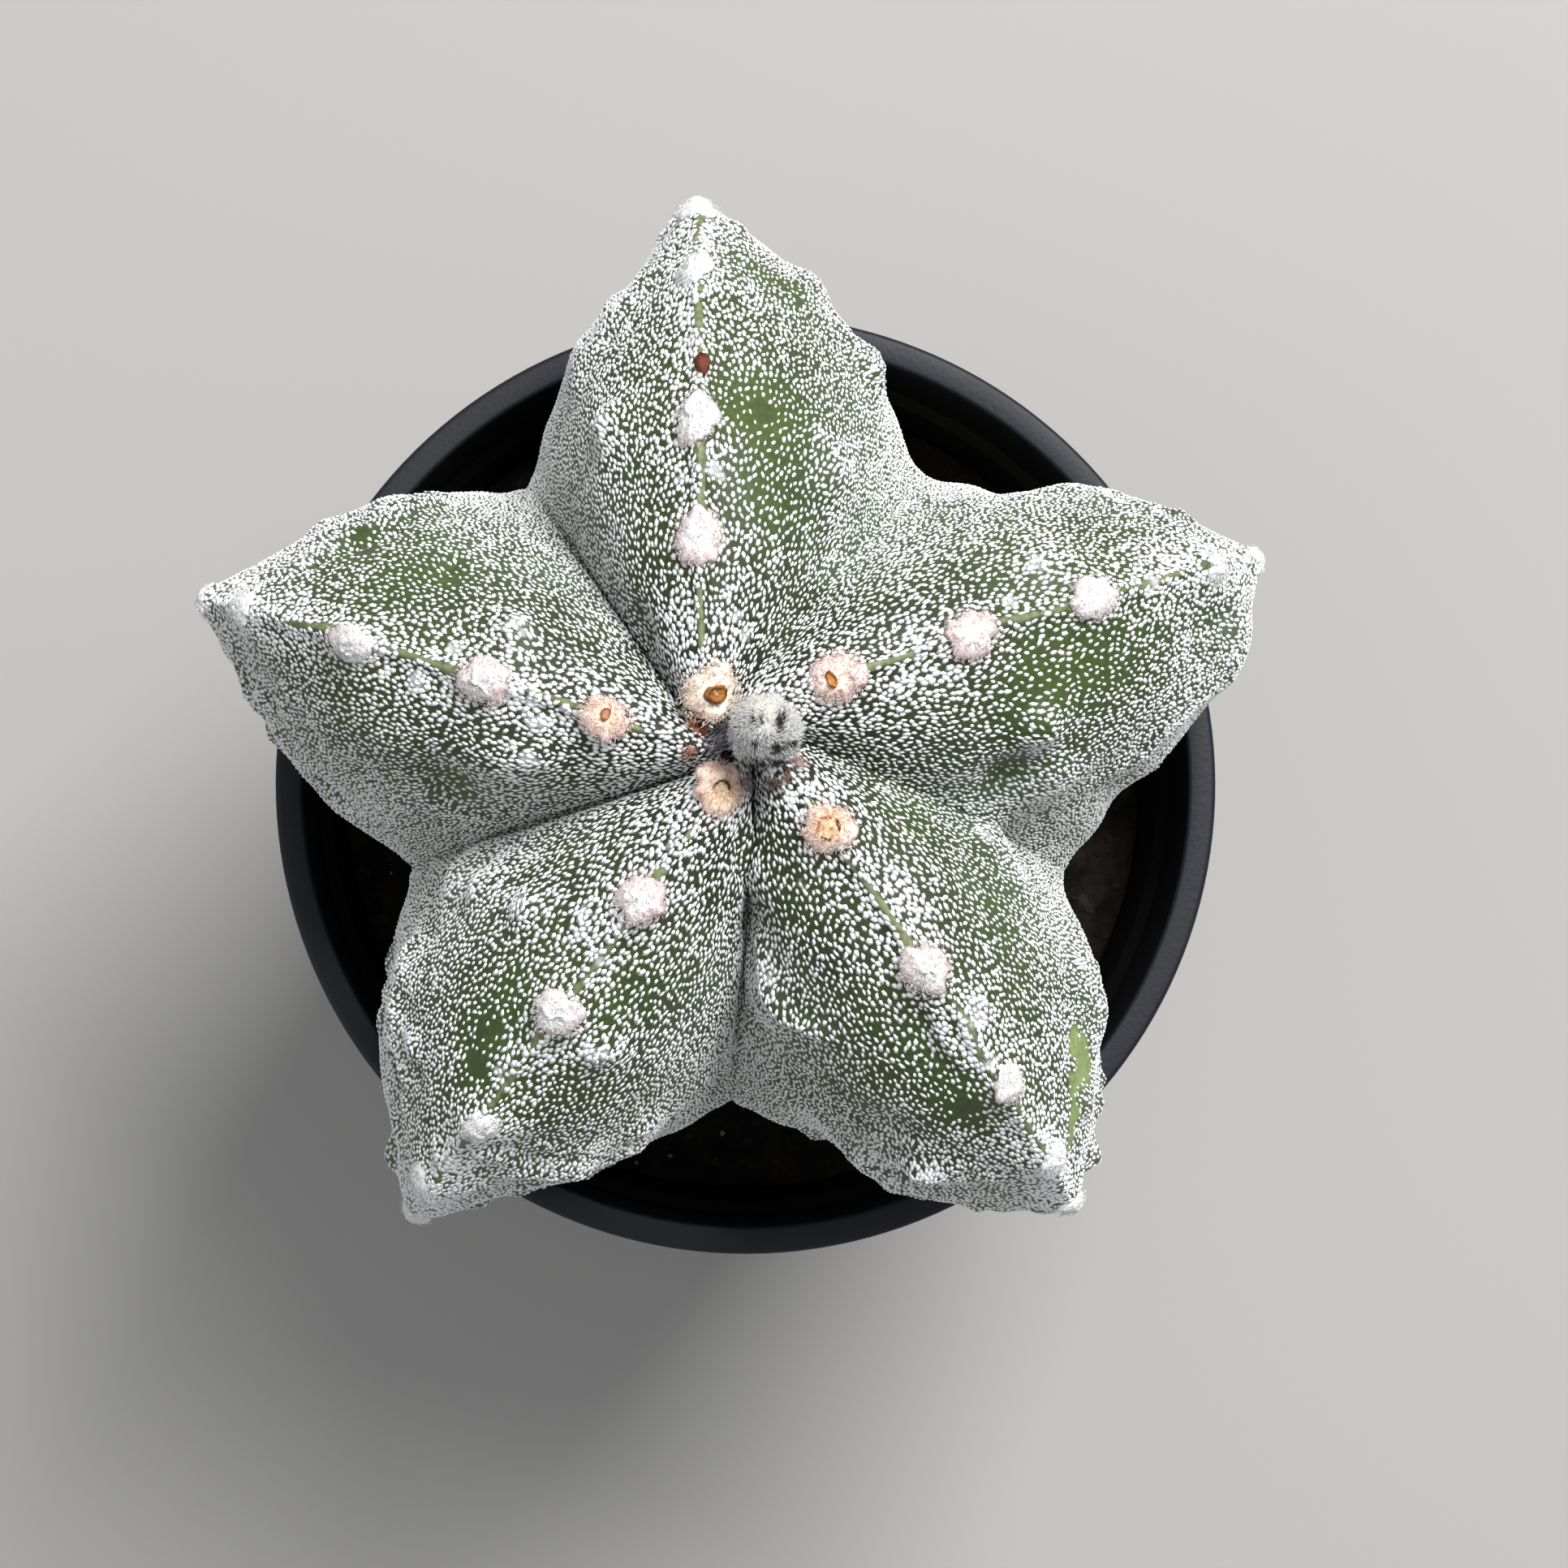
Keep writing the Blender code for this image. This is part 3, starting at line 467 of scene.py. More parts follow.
# Knobs and dents that show from above (rib place, level, width, height in mm), and folds: width and
# height in mm, then the path in rib places and levels.
KNOBS = (
    (1.24, 0.456, 1.7, 0.9), (1.23, 0.67, 1.6, 0.5), (1.11, 0.69, 1.4, 0.5), (1.29, 0.67, 1.6, 0.4),
    (4.76, 0.372, 1.9, 0.8), (4.673, 0.492, 1.5, 0.5), (0.12, 0.39, 1.8, 0.3), (0.21, 0.442, 1.8, 0.3),
    (4.423, 0.462, 1.4, 0.8), (4.29, 0.67, 1.3, 0.8), (4.25, 0.69, 1.3, 0.5), (3.85, 0.67, 1.3, 0.6),
    (3.792, 0.704, 1.2, 0.5), (3.735, 0.752, 1.2, 0.5), (3.97, 0.9, 1.4, 0.5), (2.638, 0.478, 1.7, 0.8),
    (2.75, 0.338, 1.9, 0.7), (2.89, 0.252, 1.5, 0.4), (3.13, 0.392, 1.6, 0.5), (2.97, 0.436, 1.5, 0.4),
    (2.828, 0.648, 1.6, 0.7), (2.77, 0.69, 1.4, 0.7), (2.69, 0.95, 1.5, 0.6), (2.85, 0.71, 1.3, 0.6),
    (1.598, 0.492, 1.8, 0.4), (1.82, 0.272, 1.4, 0.5), (2.06, 0.352, 1.1, 0.3), (2.1, 0.202, 1.2, 0.3),
    (2.25, 0.252, 1.6, 0.3), (2.14, 0.79, 1.2, 0.6), (2.147, 0.71, 1.1, 0.4), (2.2, 0.82, 1.3, 0.5),
    (0.205, 0.652, 1.6, 0.4), (0.1, 0.81, 1.5, 0.5), (0.04, 0.78, 1.2, 0.5), (2.578, 0.584, 1.4, 0.4),
    (1.268, 0.68, 1.5, 0.3), (4.83, 0.75, 1.6, 0.4), (4.73, 0.71, 1.6, 0.5), (1.99, 0.84, 1.2, 0.6),
    (1.82, 0.81, 1.4, 0.5), (1.76, 0.71, 1.4, 0.4), (1.04, 0.88, 1.3, 0.6), (0.95, 0.8, 1.2, 0.5),
    (4.612, 0.44, 0.9, -0.6), (1.768, 0.452, 0.9, -0.6), (2.348, 0.492, 1.3, -0.8),
    (3.18, 0.67, 1.0, -0.7), (0.47, 0.7, 1.2, -0.5), (1.41, 0.266, 0.9, -0.5),
    (3.823, 0.692, 0.9, -0.5), (2.9, 0.5, 1.3, -0.3),
    (0.83, 0.86, 2.4, 1.2), (0.765, 0.82, 1.4, -1.3), (0.7, 0.76, 2.4, 1.2), (1.17, 0.84, 1.8, -0.8),
    (4.93, 0.72, 1.8, -1.5), (4.88, 0.78, 1.6, 0.5), (2.76, 0.82, 1.5, 0.8), (2.83, 0.75, 1.2, -0.8),
    (3.175, 0.74, 1.2, -0.9), (3.13, 0.82, 1.4, 0.8), (3.8, 0.78, 1.3, 0.8), (3.84, 0.84, 1.1, -0.8),
    (3.89, 0.88, 1.3, 0.8), (4.1, 0.88, 1.2, -0.8), (4.07, 0.95, 1.4, 0.7), (4.36, 0.72, 1.5, -0.9),
    (2.1, 0.83, 1.2, -0.8), (2.14, 0.9, 1.4, 0.8), (1.83, 0.86, 1.5, 0.7), (1.79, 0.8, 1.1, -0.7),
)
FOLDS = (
    (1.3, 0.4, (0.75, 0.438), (0.7, 0.414), (0.61, 0.386)),
    (0.8, -0.5, (0.88, 0.664), (0.86, 0.684), (0.83, 0.68)),
    (0.9, 0.5, (0.87, 0.73), (0.84, 0.72), (0.81, 0.72)),
    (0.9, -0.8, (0.765, 0.664), (0.73, 0.674), (0.715, 0.696)),
    (1, 0.8, (0.755, 0.67), (0.71, 0.7), (0.682, 0.718)),
    (0.9, 0.5, (0.79, 0.7), (0.76, 0.66), (0.7, 0.648)),
    (1, 0.5, (0.01, 0.63), (4.96, 0.68), (4.89, 0.7), (4.81, 0.68)),
    (0.9, -0.35, (0, 0.592), (4.96, 0.61), (4.89, 0.642)),
    (1.2, 0.9, (3.57, 0.356), (3.6, 0.402), (3.64, 0.424), (3.7, 0.418)),
    (0.9, 0.5, (3.97, 0.34), (3.955, 0.39), (3.965, 0.43)),
    (1.0, -0.4, (3.93, 0.35), (3.92, 0.392), (3.93, 0.422)),
    (0.9, 0.6, (3.04, 0.616), (3.08, 0.654), (3.12, 0.7), (3.16, 0.726)),
    (0.7, -0.6, (1.857, 0.642), (1.818, 0.634), (1.778, 0.614)),
    (0.9, 0.5, (1.838, 0.676), (1.798, 0.666), (1.745, 0.664)),
    (0.7, -0.5, (1.768, 0.608), (1.725, 0.644), (1.685, 0.668)),
    (0.8, 0.5, (4.255, 0.674), (4.195, 0.676), (4.12, 0.656)),
    (0.6, -0.5, (3.373, 0.132), (3.408, 0.21), (3.473, 0.294)),
    (1.1, 0.6, (3.402, 0.122), (3.455, 0.2), (3.53, 0.28)),
)
knobs = np.array(KNOBS) * np.array([1, 1, MM, MM])
KNOB_POWER = 2.6
KEEL_RISE, KEEL_WIDTH = 0.42 * MM, 0.62 * MM
# Each furrow, counted upwards from the first rib: the depth of its crease, and how far its bottom is
# filled to a soft valley, in mm.
FURROW_CREASES_MM = ((0.05, 0.9), (0.5, 0.2), (0.7, 0.0), (0.7, 0.0), (0.15, 0.8))
CREASE_WIDTH, VALLEY_WIDTH = 0.7 * MM, 2.6 * MM


# %% [markdown]
# ## The skin
# The skin is one grid: columns run down the ribs, closer together at each crest, and rows run round
# the plant. Below the soil it closes into the buried foot and root. The same grid later carries the
# flecks, because a place between four of its points is found by blending them.
# %% Grid of the skin
RIB_COLUMNS, UPPER_ROWS, LOWER_ROWS = 80, 134, 56
CROWDING, FIRST_LEVEL, ROW_POWER = 0.55, 0.004, 1.1
STEP = 0.01
even = np.arange(-RIB_COLUMNS // 2, RIB_COLUMNS // 2 + 1) / (RIB_COLUMNS / 2)
one_rib = 0.5 * (even - CROWDING * np.sin(TURN * even) / TURN)
skin_q = np.concatenate([one_rib[:-1] + rib for rib in range(RIBS)])
upper_v = FIRST_LEVEL + (1 - FIRST_LEVEL) * np.linspace(0, 1, UPPER_ROWS) ** ROW_POWER
skin_v = np.concatenate([upper_v, 1 + np.linspace(0, 1, LOWER_ROWS)[1:]])
Q, V = np.meshgrid(skin_q, skin_v)
ACROSS = 2 * np.abs(Q - np.round(Q))
form = smooth_form(Q, V)
normal = np.cross(smooth_form(Q, V + STEP) - smooth_form(Q, V - STEP),
                  smooth_form(Q + STEP, V) - smooth_form(Q - STEP, V))
normal /= np.linalg.norm(normal, axis=-1, keepdims=True)
crest_line, furrow_line = smooth_form(np.round(Q), V), smooth_form(np.floor(Q) + 0.5, V)
FROM_CREST = np.linalg.norm(form - crest_line, axis=-1)
FROM_FURROW = np.linalg.norm(form - furrow_line, axis=-1)

# The relief fades out in the crown and at the soil. A keel sharpens each crest, and each furrow has
# its own crease or soft valley.
lumpy = bells(form, lumps)
knobby = bells(form, knobs, KNOB_POWER) + folded(form)
RELIEF = (lumpy + knobby) / MM
raised = lumpy + knobby + bells(form, chins) + bells(form, ripples) + bells(form, crinkles)
raised = raised * (smoothstep(V, 0.05, 0.2) * (1 - smoothstep(V, 1.75, 2.0)))
raised += KEEL_RISE * np.exp(-((FROM_CREST / KEEL_WIDTH) ** 1.5)) * smoothstep(V, 0.06, 0.12)
furrow = np.floor(Q).astype(int) % RIBS
crease, valley = np.moveaxis(np.take(FURROW_CREASES_MM, furrow, axis=0), -1, 0) * MM
furrowed = valley * np.exp(-((FROM_FURROW / VALLEY_WIDTH) ** 2)) * (1 - smoothstep(V, 0.4, 0.7))
furrowed -= crease * np.exp(-((FROM_FURROW / CREASE_WIDTH) ** 1.5))
raised += furrowed * smoothstep(V, 0.03, 0.2) * (1 - smoothstep(V, 0.9, 1.3))
skin_grid = form + normal * raised[..., None] + np.array([*AXIS, 0])
print("skin grid:", skin_grid.shape[:2])


# %% Frames on the skin
def grid_slopes(grid):
    """Unit vectors down the plant, round it and outwards at every point of the skin's grid."""
    down = np.gradient(grid, axis=0)
    wrapped = np.concatenate([grid[:, -1:], grid, grid[:, :1]], 1)
    sideways = (wrapped[:, 2:] - wrapped[:, :-2]) / 2
    outward = np.cross(down, sideways)
    outward /= np.linalg.norm(outward, axis=-1, keepdims=True)
    down = down / np.linalg.norm(down, axis=-1, keepdims=True)
    return down, np.cross(outward, down), outward


DOWN, SIDEWAYS, OUTWARD = grid_slopes(skin_grid)


def blended(values, row, column):
    """Values of the grid at fractional rows and columns, blended from the four points round it."""
    low, left = np.floor(row).astype(int), np.floor(column).astype(int)
    low = np.clip(low, 0, values.shape[0] - 2)
    right, left = (left + 1) % values.shape[1], left % values.shape[1]
    s, t = row - low, column - np.floor(column)
    if values.ndim == 3:
        s, t = s[:, None], t[:, None]
    upper = values[low, left] * (1 - t) + values[low, right] * t
    lower = values[low + 1, left] * (1 - t) + values[low + 1, right] * t
    return upper * (1 - s) + lower * s


def skin_place(q, v):
    """(point, down, sideways, outward) of the skin at rib places q and levels v."""
    q, v = np.atleast_1d(np.asarray(q, float)) % RIBS, np.atleast_1d(np.asarray(v, float))
    column = np.floor(q + 0.5) * RIB_COLUMNS
    column = column + np.interp((q + 0.5) % 1 - 0.5, one_rib, np.arange(RIB_COLUMNS + 1))
    row = np.interp(v, skin_v, np.arange(len(skin_v)))
    return tuple(blended(values, row, column) for values in (skin_grid, DOWN, SIDEWAYS, OUTWARD))


def spot(q, v):
    """(point, down, sideways, outward) of one place on the skin."""
    return tuple(values[0] for values in skin_place(q, v))


def set_off(place, x, y, rise):
    """Points that lie x mm down, y mm sideways and rise mm outwards of a place on the skin."""
    point, down, side, outward = place
    x, y, rise = (np.asarray(value)[..., None] for value in (x, y, rise))
    return point + (down * x + side * y + outward * rise) * MM


# %% [markdown]
# Some places of the skin are different: bare green patches where the flecks are sparse or missing, a
# long bare scar near the tip of the low right rib, painted bright green as a painted sheen over its own
# paler colour, white spots where flecks run together, and a narrow bare stripe that wanders along each
# crest from areole to areole. They are worked out once on the grid, as numbers from 0 to 1, and both
# the material and the flecks use them.
# %% Patches and stripes
# Each patch: rib place, level, radius in mm and strength. The white spots have no strength of theirs.
GREEN = (
    (0.87, 0.364, 4.2, 0.9), (0.8, 0.278, 5.0, 0.5), (0.88, 0.68, 3.4, 0.6), (4.87, 0.38, 6.0, 0.75),
    (4.84, 0.472, 4.0, 0.5), (2.93, 0.47, 4.0, 0.9), (2.91, 0.39, 2.6, 0.7), (1.828, 0.594, 3.2, 0.8),
    (1.85, 0.47, 5.0, 0.4), (3.94, 0.502, 3.6, 0.9), (3.84, 0.43, 6.0, 0.5), (1.788, 0.428, 2.0, 1.0),
    (4.39, 0.292, 3.4, 0.5), (4.303, 0.416, 4.0, 0.4), (4.633, 0.42, 1.6, 1.0), (2.328, 0.442, 2.2, 0.9),
    (3.1, 0.304, 5.0, 0.35), (3.70, 0.21, 3.6, 0.55), (3.64, 0.16, 2.4, 0.5), (1.157, 0.204, 4.0, 0.4),
    (2.138, 0.492, 4.0, 0.4), (3.17, 0.5, 5.0, 0.4),
)
BARE = (
    (0.865, 0.374, 1.7, 1.0), (0.85, 0.662, 1.5, 1.0), (2.935, 0.492, 1.7, 1.0), (2.91, 0.432, 1.1, 0.9),
    (1.828, 0.6, 1.6, 1.0), (1.808, 0.66, 1.1, 1.0), (3.93, 0.514, 1.8, 0.9), (3.89, 0.542, 1.6, 0.8),
    (4.643, 0.42, 0.8, 0.9), (2.337, 0.442, 0.9, 0.8), (1.79, 0.416, 0.7, 0.9), (2.90, 0.462, 1.2, 0.9),
)
# The long scar near the tip of the low right rib: bare skin painted bright green, partly its own paler
# colour and partly a painted sheen.
SHEEN_SCAR_PLACES = (
    (4.175, 0.66, 1.9, 1.0), (4.185, 0.71, 2.2, 1.0), (4.15, 0.70, 2.2, 1.0), (4.165, 0.74, 2.0, 1.0),
    (4.12, 0.675, 1.8, 1.0), (4.08, 0.70, 1.6, 1.0), (4.055, 0.715, 1.5, 1.0), (4.035, 0.71, 1.2, 1.0),
)
WHITE_SMEARS = (
    (0.96, 0.268, 1.5), (1.058, 0.266, 0.9), (0.792, 0.122, 1.1), (0.7, 0.122, 1.0), (1.24, 0.45, 1.5),
    (1.82, 0.272, 1.7), (2.06, 0.352, 1.6), (2.1, 0.202, 1.4), (2.25, 0.252, 1.4), (2.627, 0.482, 1.8),
    (3.13, 0.392, 1.6), (2.958, 0.112, 1.0), (3.01, 0.254, 0.9), (2.88, 0.242, 1.1), (4.03, 0.39, 1.9),
    (4, 0.44, 1.1), (0.12, 0.39, 1.5), (4.58, 0.37, 1.0), (4.772, 0.442, 1.0), (4.713, 0.41, 1.2),
    (4.01, 0.68, 1.8), (2.98, 0.456, 1.2), (2.828, 0.662, 1.6), (2.768, 0.556, 1.2), (4.42, 0.26, 1.0),
    (1.95, 0.312, 1.3), (1.89, 0.7, 1.5), (0, 0.51, 1.2), (0.06, 0.314, 1.2), (3.75, 0.18, 0.9),
    (1.02, 0.454, 1.0), (0.99, 0.66, 1.4), (3, 0.642, 1.3), (2, 0.72, 1.4), (0, 0.74, 1.4),
    (3.85, 0.67, 1.3), (3.6, 0.38, 1.1), (4.423, 0.462, 1.2), (2.75, 0.338, 1.5), (4.29, 0.67, 1.2),
)


def wander(x, seed, *waves):
    """A smooth seeded wave of x from about -1 to 1: the mean of sines of the given wave counts."""
    phase = np.random.default_rng(seed).uniform(0, TURN, len(waves))
    return sum(np.sin(x * wave + p) for wave, p in zip(waves, phase)) / len(waves)


def patches(places):
    """The strongest of the soft round patches (q, v, radius in mm, strength) at each grid point."""
    strongest = np.zeros(Q.shape)
    x, y, z = np.moveaxis(form / MM, -1, 0)
    ragged = 1 + 0.45 * wander(x + 0.6 * z, 25, 0.9, 1.7) * wander(y - 0.4 * z, 26, 1.1, 1.9)
    for q, v, radius, strength in places:
        far = np.linalg.norm(form - smooth_form(q, v), axis=-1) / (radius * MM) * ragged
        strongest = np.maximum(strongest, strength * np.exp(-(far**2) * 0.7))
    return strongest


def crest_stripe():
    """How much of a crest's bare stripe each grid point has. The stripe is about half a millimetre
    wide, wanders beside the crest, and is broken here and there and at the areoles."""
    stripe = np.zeros(Q.shape)
    for rib in range(RIBS):
        levels = skin_v[:, None]
        offset = (Q - rib + RIBS / 2) % RIBS - RIBS / 2
        centre = smooth_form(np.full(len(skin_v), float(rib)), skin_v)[:, None]
        side = np.linalg.norm(form - centre, axis=-1) * np.sign(offset)
        middle = 0.35 * MM * wander(levels, 30 + rib, 23.0, 41.0)
        width = 0.27 + 0.10 * wander(levels, 40 + rib, 31.0, 57.0)
        width = (width + 0.10 * wander(levels, 45 + rib, 97.0)) * MM
        there = smoothstep(wander(levels, 50 + rib, 33.0, 61.0), -0.75, -0.35)
        there = there * smoothstep(levels, 0.05, 0.09) * (1 - smoothstep(levels, 0.72, 0.85))
        near = 1 - smoothstep(np.abs(side - middle), width * 0.4, width * 1.7)
        stripe = np.maximum(stripe, near * there * (np.abs(offset) < 0.3))
    return stripe


GREENNESS = patches(GREEN)
SCAR_SHEEN = patches(SHEEN_SCAR_PLACES)
BARENESS = np.maximum(patches(BARE), SCAR_SHEEN)
WHITENESS = patches([(*place, 1.0) for place in WHITE_SMEARS])
# A grey haze near the furrows and low on the flanks: partly fine down, partly a painted sheen where the
# flanks are seen at a slant.
in_furrow = smoothstep(ACROSS, 0.30, 0.85) * smoothstep(V, 0.12, 0.5)
DOWN_AND_SHEEN = np.maximum(in_furrow, 0.7 * smoothstep(V, 0.5, 0.75)) * (1 - GREENNESS)
STRIPE = crest_stripe()
print("bare stripe covers", round(float((STRIPE > 0.5).mean()) * 100, 1), "% of the grid")

# %% [markdown]
# Between the flecks the skin is dark olive, nearly black in the crown, greener in the patches, pale
# on the stripe, and brown cork just above the soil. On the flanks a grey haze greys it, partly fine
# down and partly a painted sheen where the flanks are seen at a slant, and where flecks run together
# it is white. The long scar on the low right rib is painted bright green, partly its own paler colour
# and partly a painted sheen. Fine noise in the colour and a fine bump give it the grain of living
# skin, and it is a little glossy where it is bare.
# %% Finish of the skin
NEAR_BLACK, OLIVE, LIGHT_OLIVE = (0.018, 0.021, 0.012), (0.040, 0.054, 0.020), (0.054, 0.072, 0.024)
# The downy grey is partly the grey of fine down and partly a painted sheen on slanting flanks.
DOWN_AND_SHEEN_GREY, LEAF_GREEN, BARE_GREEN = (0.104, 0.132, 0.086), (0.064, 0.094, 0.018), (0.050, 0.070, 0.022)
# The scar's bright green is partly its own paler colour and partly a painted sheen.
SHEEN_GREEN, WORN_GREEN = (0.22, 0.29, 0.105), (0.165, 0.185, 0.095)
SMEARED_WHITE, CORK = (0.50, 0.51, 0.50), (0.130, 0.092, 0.055)
skin = Finish("cactus_skin", 0.5, Specular_IOR_Level=0.25)
blots, grain = skin.noise(0.007, 3.0), skin.noise(0.0006, 2.0)
level, green = skin.attribute("level"), skin.attribute("greenness")
tone = skin.mix(level.ramp(0.02, 0.45), NEAR_BLACK, OLIVE)
tone = skin.mix(blots.ramp(0.40, 0.65) * level.ramp(0.05, 0.3) * 0.6, tone, LIGHT_OLIVE)
# Painted sheen: the grey haze lightens the slanting flanks, partly as fine down.
tone = skin.mix(skin.attribute("down_sheen") * blots.ramp(0.25, 0.6) * 0.75, tone, DOWN_AND_SHEEN_GREY)
tone = skin.mix(green * 0.8, tone, LEAF_GREEN)
tone = skin.mix(skin.attribute("bareness").ramp(0.4, 0.8), tone, BARE_GREEN)
# Painted sheen: the long scar is painted bright green, partly its own paler colour.
tone = skin.mix(skin.attribute("painted_sheen").ramp(0.4, 0.75) * blots.ramp(0.1, 0.5), tone,
                SHEEN_GREEN)
worn = skin.attribute("stripe") * (grain * 0.9 + 0.3) * (blots * 0.8 + 0.5)
tone = skin.mix(worn.ramp(0.12, 0.75), tone, WORN_GREEN)
smear = skin.attribute("whiteness") + skin.noise(0.0009, 2.0) * 0.8
tone = skin.mix(smear.ramp(1.05, 1.45), tone, SMEARED_WHITE)
tone = skin.mix(level.ramp(1.72, 1.98) * blots.ramp(0.3, 0.5), tone, CORK)
skin.colour(skin.shade(tone, grain * 0.9 + 0.55))
skin.feed(skin.shader.inputs["Roughness"], 0.55 - green * 0.15)
skin.bump(grain, 0.05 * MM)

# %% Body
FOOT_BOTTOM, ROOT_TIP, ROOT_RADIUS = 61 * MM, 34.5 * MM, 6 * MM
HOLE_SIDE, ROOT_LENGTH, PIT_DIP = 5.4 * MM, 26 * MM, 0.3 * MM
foot = skin_grid[-1]
foot_angles = np.arctan2(foot[:, 1] - AXIS[1], foot[:, 0] - AXIS[0])


def shrunk(ring, share, height):
    """A ring drawn in towards the plant's axis and set at a height."""
    flat = np.array(AXIS) + (ring[:, :2] - np.array(AXIS)) * share
    return np.column_stack([flat, np.full(len(ring), height)])


def root_ring(radius, height):
    """A round ring of the root, with its points at the foot's angles."""
    around = np.column_stack([np.cos(foot_angles), np.sin(foot_angles)])
    return np.column_stack([np.array(AXIS) + radius * around, np.full(len(foot), height)])


buried = [shrunk(foot, 0.97, SOIL_HEIGHT - HOLE_SIDE), shrunk(foot, 0.82, FOOT_BOTTOM),
          root_ring(ROOT_RADIUS, FOOT_BOTTOM), root_ring(0.6 * ROOT_RADIUS, FOOT_BOTTOM - ROOT_LENGTH)]
pit = float(crest_and_furrow(np.array(0.0))[1]) - PIT_DIP
points, faces = closed(np.concatenate([skin_grid, np.stack(buried)]), (*AXIS, pit), (*AXIS, ROOT_TIP))
body = mesh_piece("cactus_skin", points, faces, skin.material)
layers = {"level": V, "greenness": GREENNESS, "bareness": BARENESS, "painted_sheen": SCAR_SHEEN,
          "stripe": STRIPE, "down_sheen": DOWN_AND_SHEEN, "whiteness": WHITENESS}
for name, values in layers.items():
    below = np.full(len(points) - values.size, 2.0 if name == "level" else 0.0)
    below[-2] = values[0, 0]
    paint(body.data, name, np.concatenate([values.ravel(), below]))
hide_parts("cactus_body")

# %% [markdown]
# ## Which areole is what
# An areole is a pad of felt, oval along the crest, from which a cactus grows its spines, wool and
# buds. The pads nearest the crown are the youngest: cream and orange in the middle, where flowers
# have stood, with pinkish rims. Further out they are white, and low on the plant grey and worn.
# Their places are settled before the flecks, which leave room for them.
# %% List of the areoles
RUST = (0.36, 0.10, 0.05)
WHITE, ROSY_WHITE, GREY = (0.80, 0.79, 0.79), (0.79, 0.72, 0.71), (0.42, 0.39, 0.36)
# Each areole that shows from above: rib, number, sideways shift in q, half length and half width in
# mm, centre and rim tints, and the share of rusty specks in its felt.
SHOWN = (
    (0, 0, 0.000, 2.8, 2.5, (0.88, 0.72, 0.62), (0.86, 0.70, 0.68), 0.20),
    (0, 1, 0.000, 2.8, 2.5, WHITE, (0.78, 0.62, 0.60), 0.10),
    (0, 2, 0.000, 2.8, 2.4, WHITE, ROSY_WHITE, 0.04),
    (0, 3, -0.005, 2.2, 1.9, WHITE, WHITE, 0.0),
    (1, 0, -0.140, 2.9, 3.2, (0.93, 0.89, 0.78), (0.84, 0.70, 0.58), 0.24),
    (1, 1, 0.000, 2.9, 2.4, WHITE, (0.80, 0.67, 0.64), 0.06),
    (1, 2, 0.005, 2.9, 2.4, WHITE, ROSY_WHITE, 0.03),
    (1, 3, 0.005, 2.2, 2.1, WHITE, WHITE, 0.0),
    (1, 4, 0.000, 2.2, 2.4, WHITE, WHITE, 0.0),
    (2, 0, -0.005, 2.6, 2.2, (0.82, 0.56, 0.42), (0.85, 0.70, 0.65), 0.16),
    (2, 1, 0.005, 2.9, 2.5, WHITE, (0.79, 0.66, 0.64), 0.06),
    (2, 2, 0.015, 2.9, 2.3, WHITE, ROSY_WHITE, 0.05),
    (2, 3, 0.000, 2.2, 1.9, WHITE, WHITE, 0.0),
    (3, 0, 0.040, 2.8, 2.9, (0.97, 0.74, 0.50), (0.92, 0.72, 0.66), 0.20),
    (3, 1, -0.005, 2.6, 2.6, WHITE, (0.78, 0.63, 0.61), 0.10),
    (3, 2, 0.000, 2.5, 2.5, WHITE, ROSY_WHITE, 0.06),
    (3, 3, 0.010, 2.2, 2.1, WHITE, WHITE, 0.0),
    (3, 4, -0.015, 2.1, 2.3, WHITE, WHITE, 0.0),
    (4, 0, 0.000, 2.8, 2.5, (0.88, 0.58, 0.34), (0.87, 0.74, 0.71), 0.20),
    (4, 1, 0.000, 2.9, 2.4, WHITE, (0.78, 0.68, 0.65), 0.08),
    (4, 2, 0.015, 2.4, 2.3, WHITE, ROSY_WHITE, 0.04),
    (4, 3, 0.010, 2.2, 2.2, WHITE, WHITE, 0.0),
)


def areole_list():
    """(q, v, half length, half width, centre tint, rim tint, specks) of every areole, with the
    lower ones from their levels: smaller, greyer and sparser."""
    named = {(row[0], row[1]): row[2:] for row in SHOWN}
    found = []
    for rib, levels in enumerate(AREOLE_LEVELS):
        for index, v in enumerate(levels):
            if (rib, index) in named:
                shift, *looks = named[rib, index]
                found.append((rib + shift, float(v), *looks))
                continue
            age = float(smoothstep(v, 0.9, 1.7))
            tone = tuple(np.array(WHITE) * (1 - age) + np.array(GREY) * age)
            found.append((float(rib), float(v), 2.0 - 0.5 * age, 1.8 - 0.5 * age, tone, tone, 0.0))
    return found


AREOLES = areole_list()
print(len(AREOLES), "areoles")

# %% [markdown]
# ## The flecks
# The white flecks are the mark of this plant: each is a tiny tuft of matted hairs, about half a
# millimetre wide, and no two touch. Points thrown at random would clump, so this is dart throwing:
# many more darts than needed, each with a random rank and its own distance to keep. A dart stays if
# it outranks every rival that is too near, its rivals fall, and the rest are judged again. Working
# in rounds on whole arrays gives the same even, irregular spread as throwing them one by one.
# %% Where flecks may stand
LENGTHWISE, CROSSWISE = 1.32, 1.12
CELL_AREA = np.linalg.norm(np.cross(np.diff(skin_grid, axis=0),
                                    (np.roll(skin_grid, -1, axis=1) - skin_grid)[:-1]), axis=-1)


